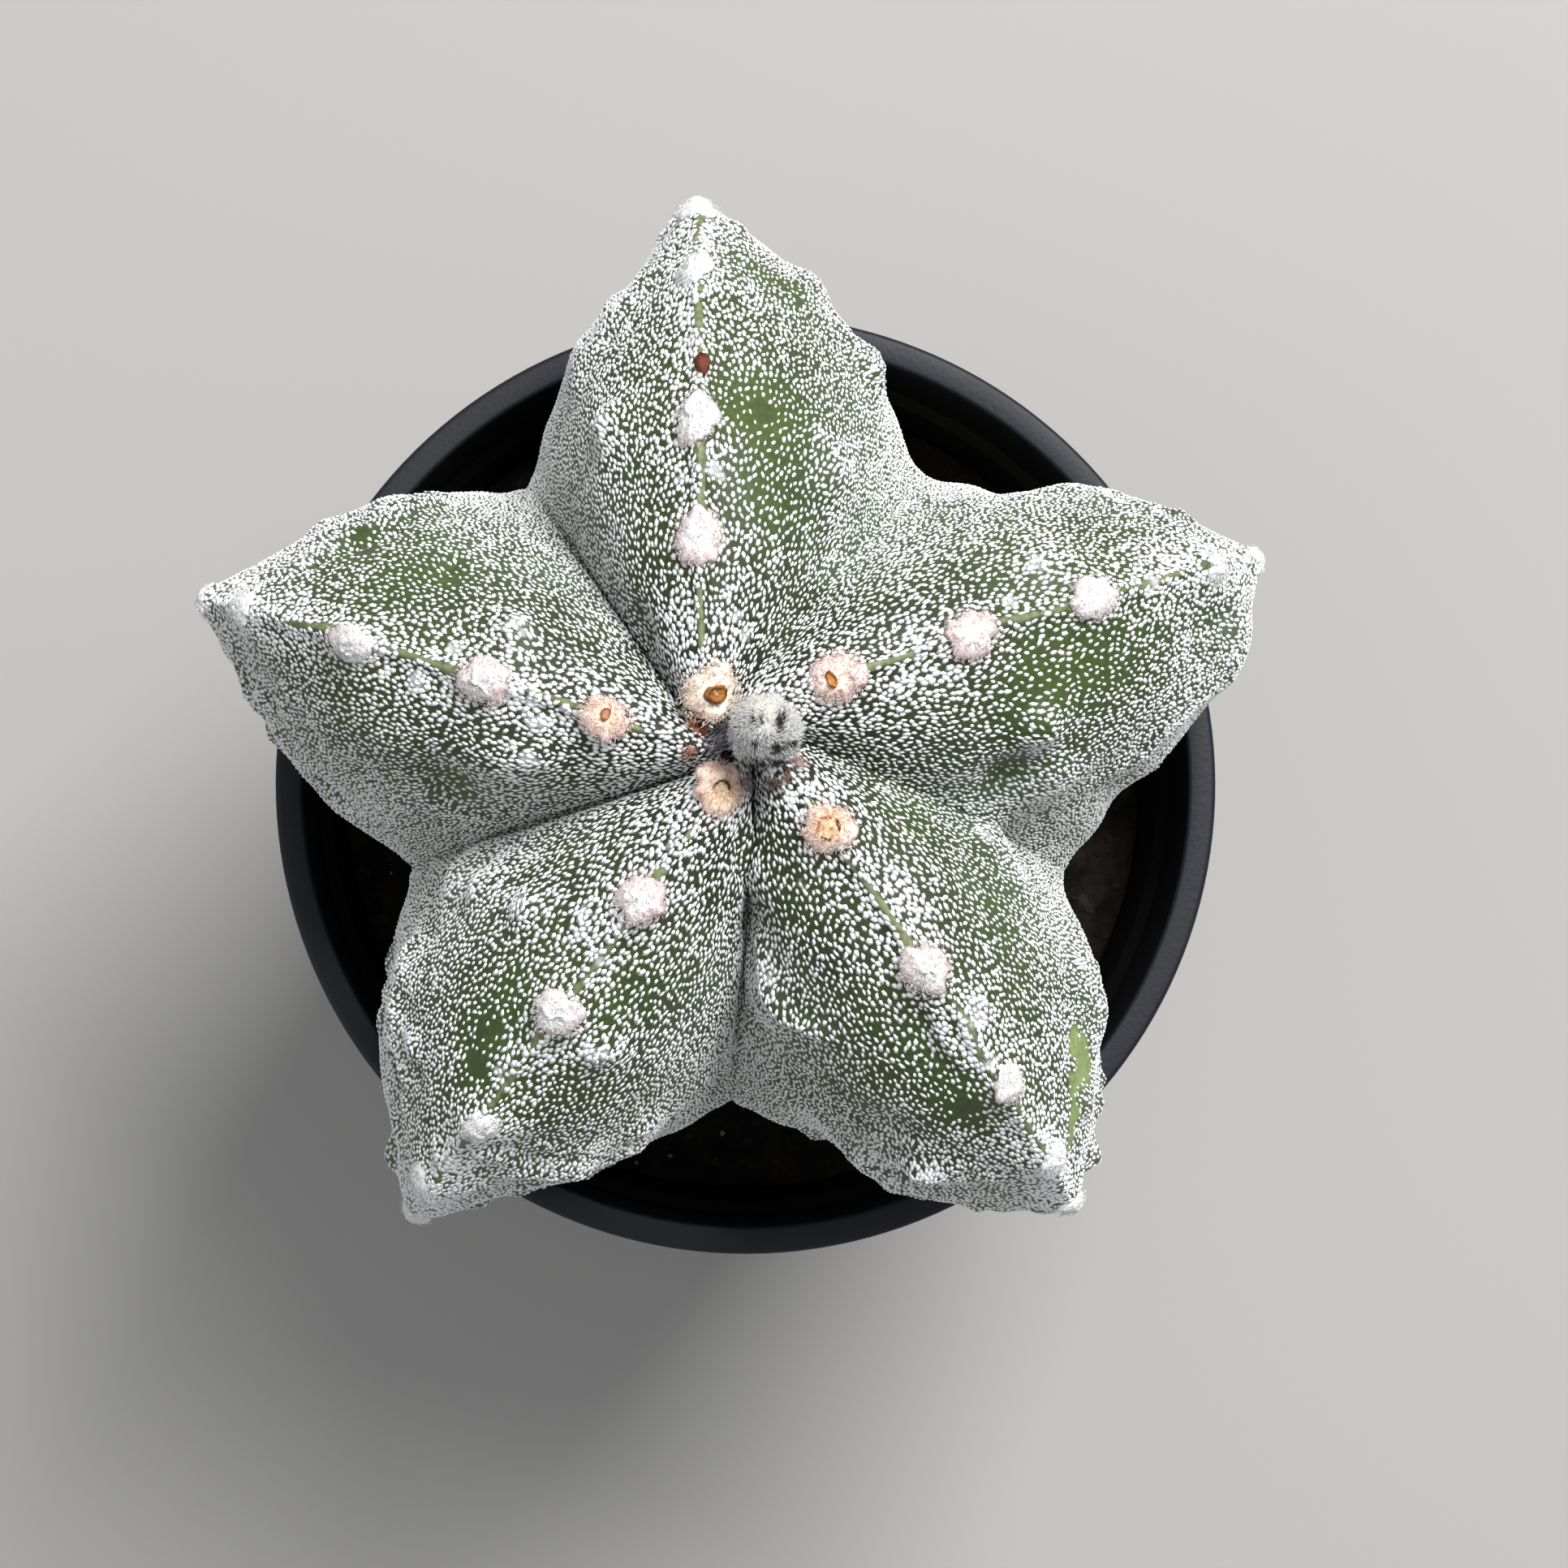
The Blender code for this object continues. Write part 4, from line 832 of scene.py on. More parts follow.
def rivals(points, reach):
    """Pairs of points nearer than reach, found by sorting the points into cubes of that size and
    comparing each cube with itself and its neighbours."""
    cube = np.floor((points - points.min(0)) / reach).astype(np.int64) + 1
    width = cube.max(0) + 2
    key = (cube[:, 0] * width[1] + cube[:, 1]) * width[2] + cube[:, 2]
    order = np.argsort(key, kind="stable")
    sorted_key = key[order]
    found = []
    for dx in (0, 1):
        for dy in (-1, 0, 1) if dx else (0, 1):
            for dz in (-1, 0, 1) if dx or dy else (0, 1):
                shift = (dx * width[1] + dy) * width[2] + dz
                first = np.searchsorted(sorted_key, key + shift, "left")
                count = np.searchsorted(sorted_key, key + shift, "right") - first
                for k in range(int(count.max())):
                    here = np.nonzero(count > k)[0]
                    there = order[first[here] + k]
                    if not shift:
                        here, there = here[there > here], there[there > here]
                    near = np.sum((points[here] - points[there]) ** 2, 1) < reach**2
                    found.append(np.stack([here[near], there[near]], 1))
    return np.concatenate(found)


def thinned(points, spacing, down, draw):
    """Which points stay so that every two are at least their mean spacing apart. Distances down
    the plant count for less than those across, because the flecks are longer that way."""
    pairs = rivals(points, spacing.max() * LENGTHWISE)
    a, b = pairs.T
    gap = points[a] - points[b]
    along = np.sum(gap * down[a], 1)
    across = np.sqrt(np.maximum(np.sum(gap**2, 1) - along**2, 0))
    apart = np.hypot(along / LENGTHWISE, across * CROSSWISE)
    close = apart < (spacing[a] + spacing[b]) / 2
    a, b = a[close], b[close]
    rank = draw.permutation(len(points)).astype(float) + 1
    alive, kept = np.ones(len(points), bool), np.zeros(len(points), bool)
    while alive.any():
        both = alive[a] & alive[b]
        a, b = a[both], b[both]
        strongest = np.zeros(len(points))
        np.maximum.at(strongest, a, rank[b])
        np.maximum.at(strongest, b, rank[a])
        winners = alive & (rank > strongest)
        kept |= winners
        alive &= ~winners
        alive[b[winners[a]]] = False
        alive[a[winners[b]]] = False
    return kept


# %% Scatter the flecks
DARTS_EACH, PACKING, SPACING_MM = 7.0, 0.7, 0.48
BARE_LIMIT, LOWEST_FLECK, BUD_CLEARANCE, PAD_COVER = 0.62, 1.9, 2.4 * MM, 0.72 * MM
areole_points = skin_place([row[0] for row in AREOLES], [row[1] for row in AREOLES])[0]
bumpy = np.clip(RELIEF, -1, 1.4)


def spacing_map():
    """The distance in metres that flecks keep, at each grid point: wide in green patches and below
    the widest point, close beside the crests, on bumps, in the furrows and towards the tips."""
    space = np.full(Q.shape, SPACING_MM)
    space += 0.16 * GREENNESS + 0.4 * np.clip(BARENESS - 0.3, 0, 1)
    beside = np.exp(-((FROM_CREST / (3.0 * MM)) ** 2)) * smoothstep(V, 0.1, 0.2)
    space -= 0.05 * beside * (1 - smoothstep(V, 1.0, 1.3))
    space -= 0.03 * np.clip(bumpy, 0, 1) + 0.03 * WHITENESS + 0.04 * (1 - smoothstep(V, 0.08, 0.25))
    tip = np.exp(-((ACROSS / 0.3) ** 2)) * np.exp(-(((V - 0.85) / 0.2) ** 2))
    space -= 0.02 * tip
    space -= 0.07 * smoothstep(ACROSS, 0.7, 1.0) * smoothstep(V, 0.1, 0.4)
    edge = smoothstep(V, 0.45, 0.7) * (1 - smoothstep(V, 0.9, 1.1)) * (1 - GREENNESS)
    space -= 0.05 * edge * smoothstep(ACROSS, 0.1, 0.3)
    lower = V + 0.10 * wander(Q * TURN / RIBS, 28, 3, 8) + 0.05 * wander(Q * TURN / RIBS, 29, 13, 21)
    space += 0.34 * smoothstep(lower, 0.85, 1.8)
    return space * MM


SPACING = spacing_map()


def scattered(draw):
    """Fractional rows and columns of darts, thrown evenly over the skin's area but denser where
    flecks stand closer. At a distance d there is room for about PACKING / d^2 of them."""
    weight = CELL_AREA / SPACING[:-1] ** 2
    total = int(DARTS_EACH * PACKING * weight.sum())
    steps = np.cumsum(weight.ravel())
    cell = np.searchsorted(steps, draw.uniform(0, steps[-1], total))
    row = cell // len(skin_q) + draw.uniform(0, 1, total)
    column = cell % len(skin_q) + draw.uniform(0, 1, total)
    return row, column


draw = np.random.default_rng(21)
dart_row, dart_column = scattered(draw)
dart_point = blended(skin_grid, dart_row, dart_column)
dart_v = np.interp(dart_row, np.arange(len(skin_v)), skin_v)
dart_bare = blended(BARENESS, dart_row, dart_column) + draw.normal(0, 0.05, len(dart_row))
dart_stripe = blended(STRIPE, dart_row, dart_column)
open_skin = (dart_bare < BARE_LIMIT) & (dart_stripe < BARE_LIMIT) & (dart_v < LOWEST_FLECK)
open_skin &= np.linalg.norm(dart_point[:, :2] - np.array(AXIS), axis=1) > BUD_CLEARANCE
for centre, areole in zip(areole_points, AREOLES):
    open_skin &= np.linalg.norm(dart_point - centre, axis=1) > areole[3] * PAD_COVER
dart_row, dart_column, dart_point = dart_row[open_skin], dart_column[open_skin], dart_point[open_skin]
dart_down = blended(DOWN, dart_row, dart_column)
stays = thinned(dart_point, blended(SPACING, dart_row, dart_column), dart_down, draw)
fleck_row, fleck_column = dart_row[stays], dart_column[stays]
print(len(dart_row), "darts,", len(fleck_row), "flecks")

# %% [markdown]
# Each fleck is a low five-sided dome, closed underneath and sunk a hair's breadth into the skin. It
# is longer up the slope than across it, turned at random by some eighteen degrees, and each of its
# corners has its own reach, so no two have the same outline. They are larger on bumps and broader
# along the crests, and smaller in the green patches and the furrows.
# %% Shape of the flecks
FLECK_SIDES = 5
FLECK_TINT = (0.84, 0.855, 0.855)


def near_crest(row, column, wide):
    """1 on a crest and less beside it, by a bell wide mm wide, at fractional grid places."""
    return np.exp(-((blended(FROM_CREST, row, column) / (wide * MM)) ** 2))


def flecks(row, column, draw):
    """Points (n, 6, 3) and tints (n, 1, 3) of domes at fractional grid places."""
    count = len(row)
    centre, down = blended(skin_grid, row, column), blended(DOWN, row, column)
    outward = blended(OUTWARD, row, column)
    outward /= np.linalg.norm(outward, axis=1, keepdims=True)
    green, bump = blended(GREENNESS, row, column), blended(bumpy, row, column)
    across, v = blended(ACROSS, row, column), np.interp(row, np.arange(len(skin_v)), skin_v)
    turn = draw.normal(0, 0.32, (count, 1))
    side = np.cross(outward, down)
    side /= np.linalg.norm(side, axis=1, keepdims=True)
    down = np.cross(side, outward)
    long_way = down * np.cos(turn) + side * np.sin(turn)
    short_way = np.cross(outward, long_way)
    mottle = wander(centre[:, 0] / MM, 22, 0.9, 0.5) + wander(centre[:, 1] / MM, 23, 0.8, 0.55)
    size = 1.12 + 0.10 * np.clip(bump, 0, 1) - 0.26 * np.clip(green, 0, 1) + 0.07 * mottle
    size += 0.08 * near_crest(row, column, 3.5) * smoothstep(v, 0.1, 0.2)
    size += 0.08 * blended(WHITENESS, row, column) + 0.03 * np.exp(-(((v - 0.85) / 0.25) ** 2))
    size -= 0.10 * smoothstep(across, 0.7, 0.95)
    size *= draw.uniform(0.80, 1.18, count)
    half_length = (size * draw.uniform(0.35, 0.49, count) * MM)[:, None, None]
    broad = 0.84 + 0.26 * near_crest(row, column, 4.5) - 0.06 * smoothstep(across, 0.6, 0.9)
    half_width = (size * broad * draw.uniform(0.23, 0.30, count) * MM)[:, None, None]
    angle = (np.arange(FLECK_SIDES) / FLECK_SIDES * TURN + draw.uniform(0, TURN, (count, 1)))[..., None]
    reach = draw.uniform(0.76, 1.20, (count, FLECK_SIDES, 1))
    ring = centre[:, None] - outward[:, None] * 0.015 * MM
    ring = ring + long_way[:, None] * half_length * np.cos(angle) * reach
    ring = ring + short_way[:, None] * half_width * np.sin(angle) * reach
    top = centre + outward * (draw.uniform(0.09, 0.14, (count, 1)) * MM)
    tint = draw.uniform(0.86, 1.0, (count, 1, 1)) * np.array(FLECK_TINT)
    return np.concatenate([ring, top[:, None]], 1), tint


def dome_faces():
    """The triangles of a fleck: five up to its top and three that close it underneath."""
    here = np.arange(FLECK_SIDES)
    sides = np.stack([here, (here + 1) % FLECK_SIDES, np.full(FLECK_SIDES, FLECK_SIDES)], 1)
    base = np.stack([np.zeros(3, int), np.arange(2, 5), np.arange(1, 4)], 1)
    return np.concatenate([sides, base])


wool_white = Finish("fleck_wool", 0.85, Specular_IOR_Level=0.2)
wool_white.colour(wool_white.attribute("tint", colour=True))
fleck_rib = (fleck_column // RIB_COLUMNS).astype(int)
for rib in range(RIBS):
    mine = fleck_rib == rib
    domes, tint = flecks(fleck_row[mine], fleck_column[mine], draw)
    repeated_piece(f"flecks_rib_{rib}", domes, tint, [dome_faces()], wool_white.material)

# %% [markdown]
# ## Hair
# Wool, felt and the bud's down are all made of the same thing: thin tapered blades of three sides,
# bent once on their way. A blade starts at its root, leaves in one direction and ends in another.
# Thousands of them in one mesh cost little, and from a step away they read as hair.
# %% Blades
BLADE_FACES = np.array([(0, 2, 1), (0, 1, 3), (1, 4, 3), (1, 2, 4), (2, 5, 4), (2, 0, 5), (0, 3, 5),
                        (3, 4, 6), (4, 5, 6), (5, 3, 6)])
HALF_AT_BEND = 0.38
ASKEW = np.array([0.31, 0.17, 0.93])


def blades(root, leave, end, length, width):
    """Points (n, 7, 3) of hairs: a triangle at the root, a smaller one half-way along the first
    direction, and a tip that the second direction reaches."""
    leave = leave / np.linalg.norm(leave, axis=1, keepdims=True)
    end = end / np.linalg.norm(end, axis=1, keepdims=True)
    length, width = length[:, None], width[:, None]
    across = np.cross(leave, ASKEW)
    across /= np.linalg.norm(across, axis=1, keepdims=True)
    other = np.cross(leave, across)
    angle = np.arange(3) / 3 * TURN
    corner = across[:, None] * np.cos(angle)[:, None] + other[:, None] * np.sin(angle)[:, None]
    middle = root + leave * length * 0.5
    base = root[:, None] + corner * (width / 2)[..., None]
    bend = middle[:, None] + corner * (width * HALF_AT_BEND)[..., None]
    tip = middle + end * length * 0.5
    return np.concatenate([base, bend, tip[:, None]], 1)


def directions(draw, count):
    """Random directions, even over the sphere."""
    found = draw.normal(size=(count, 3))
    return found / np.linalg.norm(found, axis=1, keepdims=True)


def hair_piece(name, tufts):
    """One piece of all the hairs of some tufts, each (points (n, 7, 3), tints (n, 3))."""
    points, tints = (np.concatenate(values) for values in zip(*tufts))
    repeated_piece(name, points, tints[:, None], [BLADE_FACES], hair.material)


hair = Finish("plant_wool", 0.8, Specular_IOR_Level=0.25)
hair.colour(hair.attribute("tint", colour=True))

# %% [markdown]
# ## The areoles
# A pad is a low lumpy dome on a polar grid, with short hairs matted over it. Where flowers have stood,
# some central pads have scars, small dry discs with a dark rim, and others a broken ring of dark
# hair. One more such disc is a healed wound on a bare crest.
# %% Felt pads
PAD_STEPS, PAD_RINGS = 36, 10
PAD_RISE, PAD_SAG, PAD_HOLLOW, PAD_DEPTH = 0.25, 0.30, 0.34, 0.9
CENTRAL_LEVEL = 0.15
SEEDS = 1 << 30


def sag(y, half_wide):
    """How far in mm a pad drops with the rib's rounded back, y mm from its middle line."""
    return np.interp(np.abs(y), [0, half_wide * 1.1], [0, PAD_SAG * half_wide])


def between(first, second, share):
    """The first tint where share is 0 and the second where it is 1."""
    return np.array(first) * (1 - share) + np.array(second) * share


def felt_pad(areole, draw):
    """Points and tints of a pad: rings of a dome whose outline is ragged and whose top is lumpy,
    hollow in the middle near the crown, over a pole under the skin."""
    q, v, half_long, half_wide, centre_tint, rim_tint, specks = areole
    place = spot(q, v)
    hollow = PAD_HOLLOW if v < CENTRAL_LEVEL else 0.0
    angle = np.arange(PAD_STEPS) / PAD_STEPS * TURN
    outline = 1 + 0.13 * wander(angle, draw.integers(SEEDS), 2, 3)
    outline = outline + 0.10 * wander(angle, draw.integers(SEEDS), 5, 8)
    outline *= 1 + draw.normal(0, 0.05, PAD_STEPS)
    share = np.linspace(0, 1, PAD_RINGS + 1)[1:, None]
    x = 0.9 * half_long * outline * share * np.cos(angle)
    y = 0.9 * half_wide * outline * share * np.sin(angle)
    rise = PAD_RISE * half_wide * (1 - share**3.0) - 0.35 * share**6
    rise = rise * (1 + 0.35 * wander(angle * 2 + share * 5, draw.integers(SEEDS), 1, 2))
    rise = rise + draw.normal(0, 0.05, rise.shape) * (1 - share**4)
    rise -= hollow * np.exp(-((share / 0.48) ** 4))
    dome = set_off(place, x, y, rise) - place[3] * (sag(y, half_wide) * share**0.5 * MM)[..., None]
    poles = set_off(place, 0, 0, [PAD_RISE * half_wide - hollow, -PAD_DEPTH])
    blotchy = 0.35 * wander(angle, draw.integers(SEEDS), 1, 2)
    blend = np.clip(share**1.5 + blotchy * share + draw.normal(0, 0.12, x.shape), 0, 1)[..., None]
    tint = between(centre_tint, rim_tint, blend)
    speck = (draw.uniform(size=x.shape) < specks * share**0.5)[..., None]
    tint = np.where(speck, tint * 0.45 + np.array(RUST) * 0.55, tint)
    tint = tint * draw.uniform(0.86, 1.04, x.shape)[..., None]
    return closed(dome, *poles)[0], np.concatenate([tint.reshape(-1, 3), [centre_tint, rim_tint]])


draw = np.random.default_rng(31)
points, tints = (np.stack(values) for values in zip(*(felt_pad(areole, draw) for areole in AREOLES)))
felt = Finish("areole_felt", 0.9, Specular_IOR_Level=0.15)
fibres = felt.noise(0.0003, 3.0)
felt.colour(felt.shade(felt.attribute("tint", colour=True), fibres * 0.5 + 0.72))
felt.bump(fibres, 0.12 * MM)
repeated_piece("areole_felt", points, tints, closed_faces(PAD_RINGS, PAD_STEPS), felt.material)


# %% Scars
FIRST_PADS = [next(row for row in AREOLES if round(row[0]) % RIBS == rib) for rib in range(RIBS)]
WOUND = (0.995, 0.4)
# Each scar: the rib place and level where it lies, shift down and across in mm, half length and half
# width in mm, height of its disc over the skin, the tints of its disc and of its rim, and how much of
# the rim is dark. The first three lie in the pads nearest the crown.
SCARS = (
    (FIRST_PADS[1][:2], 0.1, 0.4, 0.80, 1.00, 0.86, (0.36, 0.15, 0.04), (0.07, 0.028, 0.012), 1.0),
    (FIRST_PADS[0][:2], -0.5, 0.0, 0.42, 0.75, 0.70, (0.56, 0.26, 0.08), (0.12, 0.04, 0.02), 0.9),
    (FIRST_PADS[2][:2], 0.0, 0.1, 0.42, 0.55, 0.62, (0.50, 0.24, 0.12), (0.14, 0.06, 0.04), 0.9),
    (WOUND, 0.0, 0.0, 1.05, 0.68, 0.34, (0.16, 0.050, 0.030), (0.045, 0.014, 0.010), 1.0),
)
# A scar's rings from its middle to under its rim: how far each reaches, its height in mm, its shade.
SCAR_RINGS = ((0.35, -0.22, 0.0), (0.70, -0.14, 0.15), (0.88, 0.02, 1.0), (0.98, 0.08, 1.0),
              (1.10, -0.05, 0.3), (1.1, -0.5, 0.3))
SCAR_STEPS, SCAR_POLES = 28, (-0.24, -0.6)


def scar(where, shift_down, shift_side, half_long, half_wide, lift, disc_tint, rim_tint, darkness, draw):
    """Points and tints of a dry disc: a hollow dish with a raised, broken rim, closed underneath."""
    place = spot(*where)
    place = (set_off(place, shift_down, shift_side, lift), *place[1:])
    shares, rises, shades = np.array(SCAR_RINGS).T[..., None]
    angle = np.arange(SCAR_STEPS) / SCAR_STEPS * TURN
    ragged = 1 + 0.10 * wander(angle, draw.integers(SEEDS), 2, 3) + draw.normal(0, 0.04, SCAR_STEPS)
    reach = shares * ragged
    x, y = half_long * reach * np.cos(angle), half_wide * reach * np.sin(angle)
    dish = set_off(place, x, y, rises + draw.normal(0, 0.05, x.shape))
    broken = np.clip(0.75 * darkness + 0.6 * wander(angle, draw.integers(SEEDS), 1, 3), 0, 1)
    tint = between(disc_tint, rim_tint, (shades * broken)[..., None])
    tint *= draw.uniform(0.75, 1.2, x.shape)[..., None]
    points, _ = closed(dish, *set_off(place, 0, 0, SCAR_POLES))
    return points, np.concatenate([tint.reshape(-1, 3), [disc_tint, rim_tint]])


draw = np.random.default_rng(35)
points, tints = (np.stack(values) for values in zip(*(scar(*row, draw) for row in SCARS)))
repeated_piece("areole_scars", points, tints, closed_faces(len(SCAR_RINGS), SCAR_STEPS), felt.material)


# %% Hair of the areoles
# The share of a central pad's area that its scar keeps free of hair, by rib.
SCARRED = {1: 0.36, 0: 0.18, 2: 0.14}
# Each ring: the pad's rib, shift down and across and radius in mm, and from where to where it goes
# round, in degrees from the way down, with its tint.
RINGS = (
    (3, 0.3, -0.4, 0.85, 105, 285, (0.16, 0.055, 0.03)),
    (3, 0.3, -0.4, 0.90, 105, 200, (0.10, 0.035, 0.02)),
    (4, 0.0, 0.0, 0.95, 20, 95, (0.09, 0.03, 0.02)),
    (4, 0.1, 0.1, 0.80, 30, 80, (0.20, 0.05, 0.02)),
    (4, 0.0, 0.0, 0.95, 120, 250, (0.50, 0.20, 0.07)),
    (4, 0.1, 0.0, 1.0, 275, 325, (0.14, 0.04, 0.02)),
)


def pad_hair(areole, draw):
    """Short hairs matted over one pad: each leaves close to the felt, any way round, and dips back
    into it. At the rim they lie outwards over the flecks and give the pad its ragged edge. Low
    pads have few hairs, and the pad beside the bud has the longest."""
    q, v, half_long, half_wide, centre_tint, rim_tint, specks = areole
    _, down, side, outward = place = spot(q, v)
    count = 460 if v < CENTRAL_LEVEL else 330 if v < 0.75 else 110
    wool_length = 1.6 if v < 0.05 and q < 1 else 1.0
    free = SCARRED.get(round(q) % RIBS, 0.0) if v < CENTRAL_LEVEL else 0.0
    share, angle = draw.uniform(free, 1.0, count) ** 0.5, draw.uniform(0, TURN, count)
    x, y = half_long * share * np.cos(angle), half_wide * share * np.sin(angle)
    rise = PAD_RISE * half_wide * (1 - share**3.0) - 0.25 * share**6
    root = set_off(place, x, y, rise - sag(y, half_wide) * share**0.5)
    away = down * np.cos(angle)[:, None] + side * np.sin(angle)[:, None]
    heading = draw.uniform(0, TURN, (count, 1))
    along = down * np.cos(heading) + side * np.sin(heading) + away * (0.7 * share**2)[:, None]
    leave = along + outward * draw.uniform(0.0, 0.35, (count, 1))
    end = along - outward * draw.uniform(0.1, 0.6, (count, 1)) + directions(draw, count) * 0.4
    length = draw.uniform(0.3, 0.62, count) * MM * wool_length
    hairs = blades(root, leave, end, length, draw.uniform(0.045, 0.08, count) * MM)
    blend = np.clip(share**1.5 + draw.normal(0, 0.15, count), 0, 1)[:, None]
    tint = between(centre_tint, rim_tint, blend)
    speck = (draw.uniform(size=count) < specks * 1.2)[:, None]
    tint = np.where(speck, tint * 0.4 + np.array(RUST) * 0.6, tint * 1.04)
    return hairs, np.clip(tint * draw.uniform(0.85, 1.06, (count, 1)), 0, 0.97)


def ring_hair(rib, shift_down, shift_side, radius, first, last, tone, draw):
    """Dark hairs laid end to end along an arc in a pad, dipping into the felt here and there."""
    count = int(abs(last - first) * radius * 0.5)
    q, v, _, half_wide, *_ = FIRST_PADS[rib]
    _, down, side, outward = place = spot(q, v)
    angle = np.radians(draw.uniform(first, last, count))
    far = radius * (1 + draw.normal(0, 0.07, count))
    x, y = shift_down + far * np.cos(angle), shift_side + far * np.sin(angle)
    root = set_off(place, x, y, 0.27 * half_wide - 0.30 + 0.1 * draw.uniform(size=count))
    along = side * np.cos(angle)[:, None] - down * np.sin(angle)[:, None]
    leave = along + outward * 0.25 + directions(draw, count) * 0.25
    end = along - outward * 0.3 + directions(draw, count) * 0.35
    length, width = draw.uniform(0.25, 0.5, count) * MM, draw.uniform(0.05, 0.08, count) * MM
    return blades(root, leave, end, length, width), np.array(tone) * draw.uniform(0.6, 1.4, (count, 1))


tufts = [pad_hair(areole, draw) for areole in AREOLES] + [ring_hair(*row, draw) for row in RINGS]
hair_piece("areole_wool", tufts)

# %% [markdown]
# ## The bud
# The flower bud is a closed head of narrow scales under silvery down. It is an egg whose radius
# follows a power of a sine, scored where left and right spirals cross. The down sweeps over it in a
# swirl from its tip, creamy and lighter at the back, on the side towards the light, which is partly its
# own cream and partly painted light, and grey below, and in a few places the dark points of scales
# show through. The scales and the down take their tints from one function of the place.
# %% Bud
BUD_MIDDLE = (AXIS[0] + 2.2 * MM, AXIS[1] + 0.1 * MM)
BUD_FOOT, BUD_HEIGHT, BUD_RADIUS = 153.6 * MM, 7.6 * MM, 3.4 * MM
BUD_COLUMNS, BUD_ROWS, BUD_SPIRALS = 80, 44, 5
BUD_TOP, BUD_SLIMNESS = 0.97, 0.92
# The cream is partly the down's own colour and partly painted light on the side towards the light.
SILVERY, LIT_CREAM, DARK_SCALE = (0.72, 0.715, 0.70), (0.97, 0.95, 0.85), (0.02, 0.014, 0.014)
# Where the dark points of scales show through the down: x and y from the bud's middle and the
# spread both ways, in radii of the bud, and how dark.
DARK_PLACES = (
    (0.35, 0.16, 0.10, 0.28, 1.0), (0.46, 0.34, 0.08, 0.16, 0.8), (-0.14, 0.12, 0.07, 0.26, 0.8),
    (-0.36, 0.30, 0.06, 0.18, 0.6), (0.26, -0.52, 0.12, 0.13, 1.0), (0.66, -0.38, 0.20, 0.08, 0.8),
    (0.35, -0.88, 0.22, 0.10, 1.0), (-0.30, -0.42, 0.08, 0.12, 0.6), (-0.05, -0.15, 0.06, 0.20, 0.5),
    (-0.20, -0.90, 0.40, 0.10, 0.7),
)


def bud_form(angle, level, grow=0.0):
    """Points of the bud at an angle round it and a level from 0 at its foot to 1 at its tip."""
    swell = np.sin(math.pi * (0.18 + 0.80 * level)) ** 0.62
    left = np.abs((BUD_SPIRALS * angle / TURN + 2 * level) % 1 - 0.5) * 2
    right = np.abs((BUD_SPIRALS * angle / TURN - 2 * level) % 1 - 0.5) * 2
    relief = 0.2 * (left * right - 0.25) * np.sin(math.pi * level)
    radius = BUD_RADIUS * swell * (1 - 0.10 * level) * (1 + relief) * BUD_SLIMNESS + grow
    return np.stack([BUD_MIDDLE[0] + radius * np.cos(angle), BUD_MIDDLE[1] + radius * np.sin(angle),
                     BUD_FOOT + BUD_HEIGHT * level * BUD_TOP + grow], -1)


def bud_tint(places):
    """(silvery to creamy tint, darkness) at places (n, 2 or more) on the bud. The creamy side is partly
    painted light.
    """
    x, y = ((places[:, :2] - np.array(BUD_MIDDLE)) / BUD_RADIUS).T
    # Painted light: the down is lighter and creamier on its back, the side towards the light.
    lit_side = np.exp(-(((x + 0.06) / 0.50) ** 2) - ((y - 0.52) / 0.36) ** 2)[..., None]
    dark = np.zeros(np.shape(x))
    for px, py, wide, high, strength in DARK_PLACES:
        dark = np.maximum(dark, strength * np.exp(-(((x - px) / wide) ** 2) - ((y - py) / high) ** 2))
    return between(SILVERY, LIT_CREAM, lit_side), dark


around, levels = np.arange(BUD_COLUMNS) / BUD_COLUMNS * TURN, np.linspace(BUD_TOP, 0.0, BUD_ROWS)
points, faces = closed(bud_form(*np.meshgrid(around, levels)),
                       (*BUD_MIDDLE, BUD_FOOT + BUD_HEIGHT * BUD_TOP), (*BUD_MIDDLE, BUD_FOOT))
scales = Finish("bud_scales", 0.8)
streaks = scales.noise(0.0006, 3.0)
scales.colour(scales.shade(scales.attribute("tint", colour=True), streaks * 0.9 + 0.5))
scales.bump(streaks, 0.15 * MM)
tint, dark = bud_tint(points)
tint = between(tint * 0.72, DARK_SCALE, np.clip(1.3 * dark, 0, 1)[:, None])
bud = mesh_piece("bud_scales", points, faces, scales.material, tint)
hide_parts("flower_bud")


# %% Down of the bud
DOWN_HAIRS, INKY = 4600, (0.022, 0.016, 0.016)


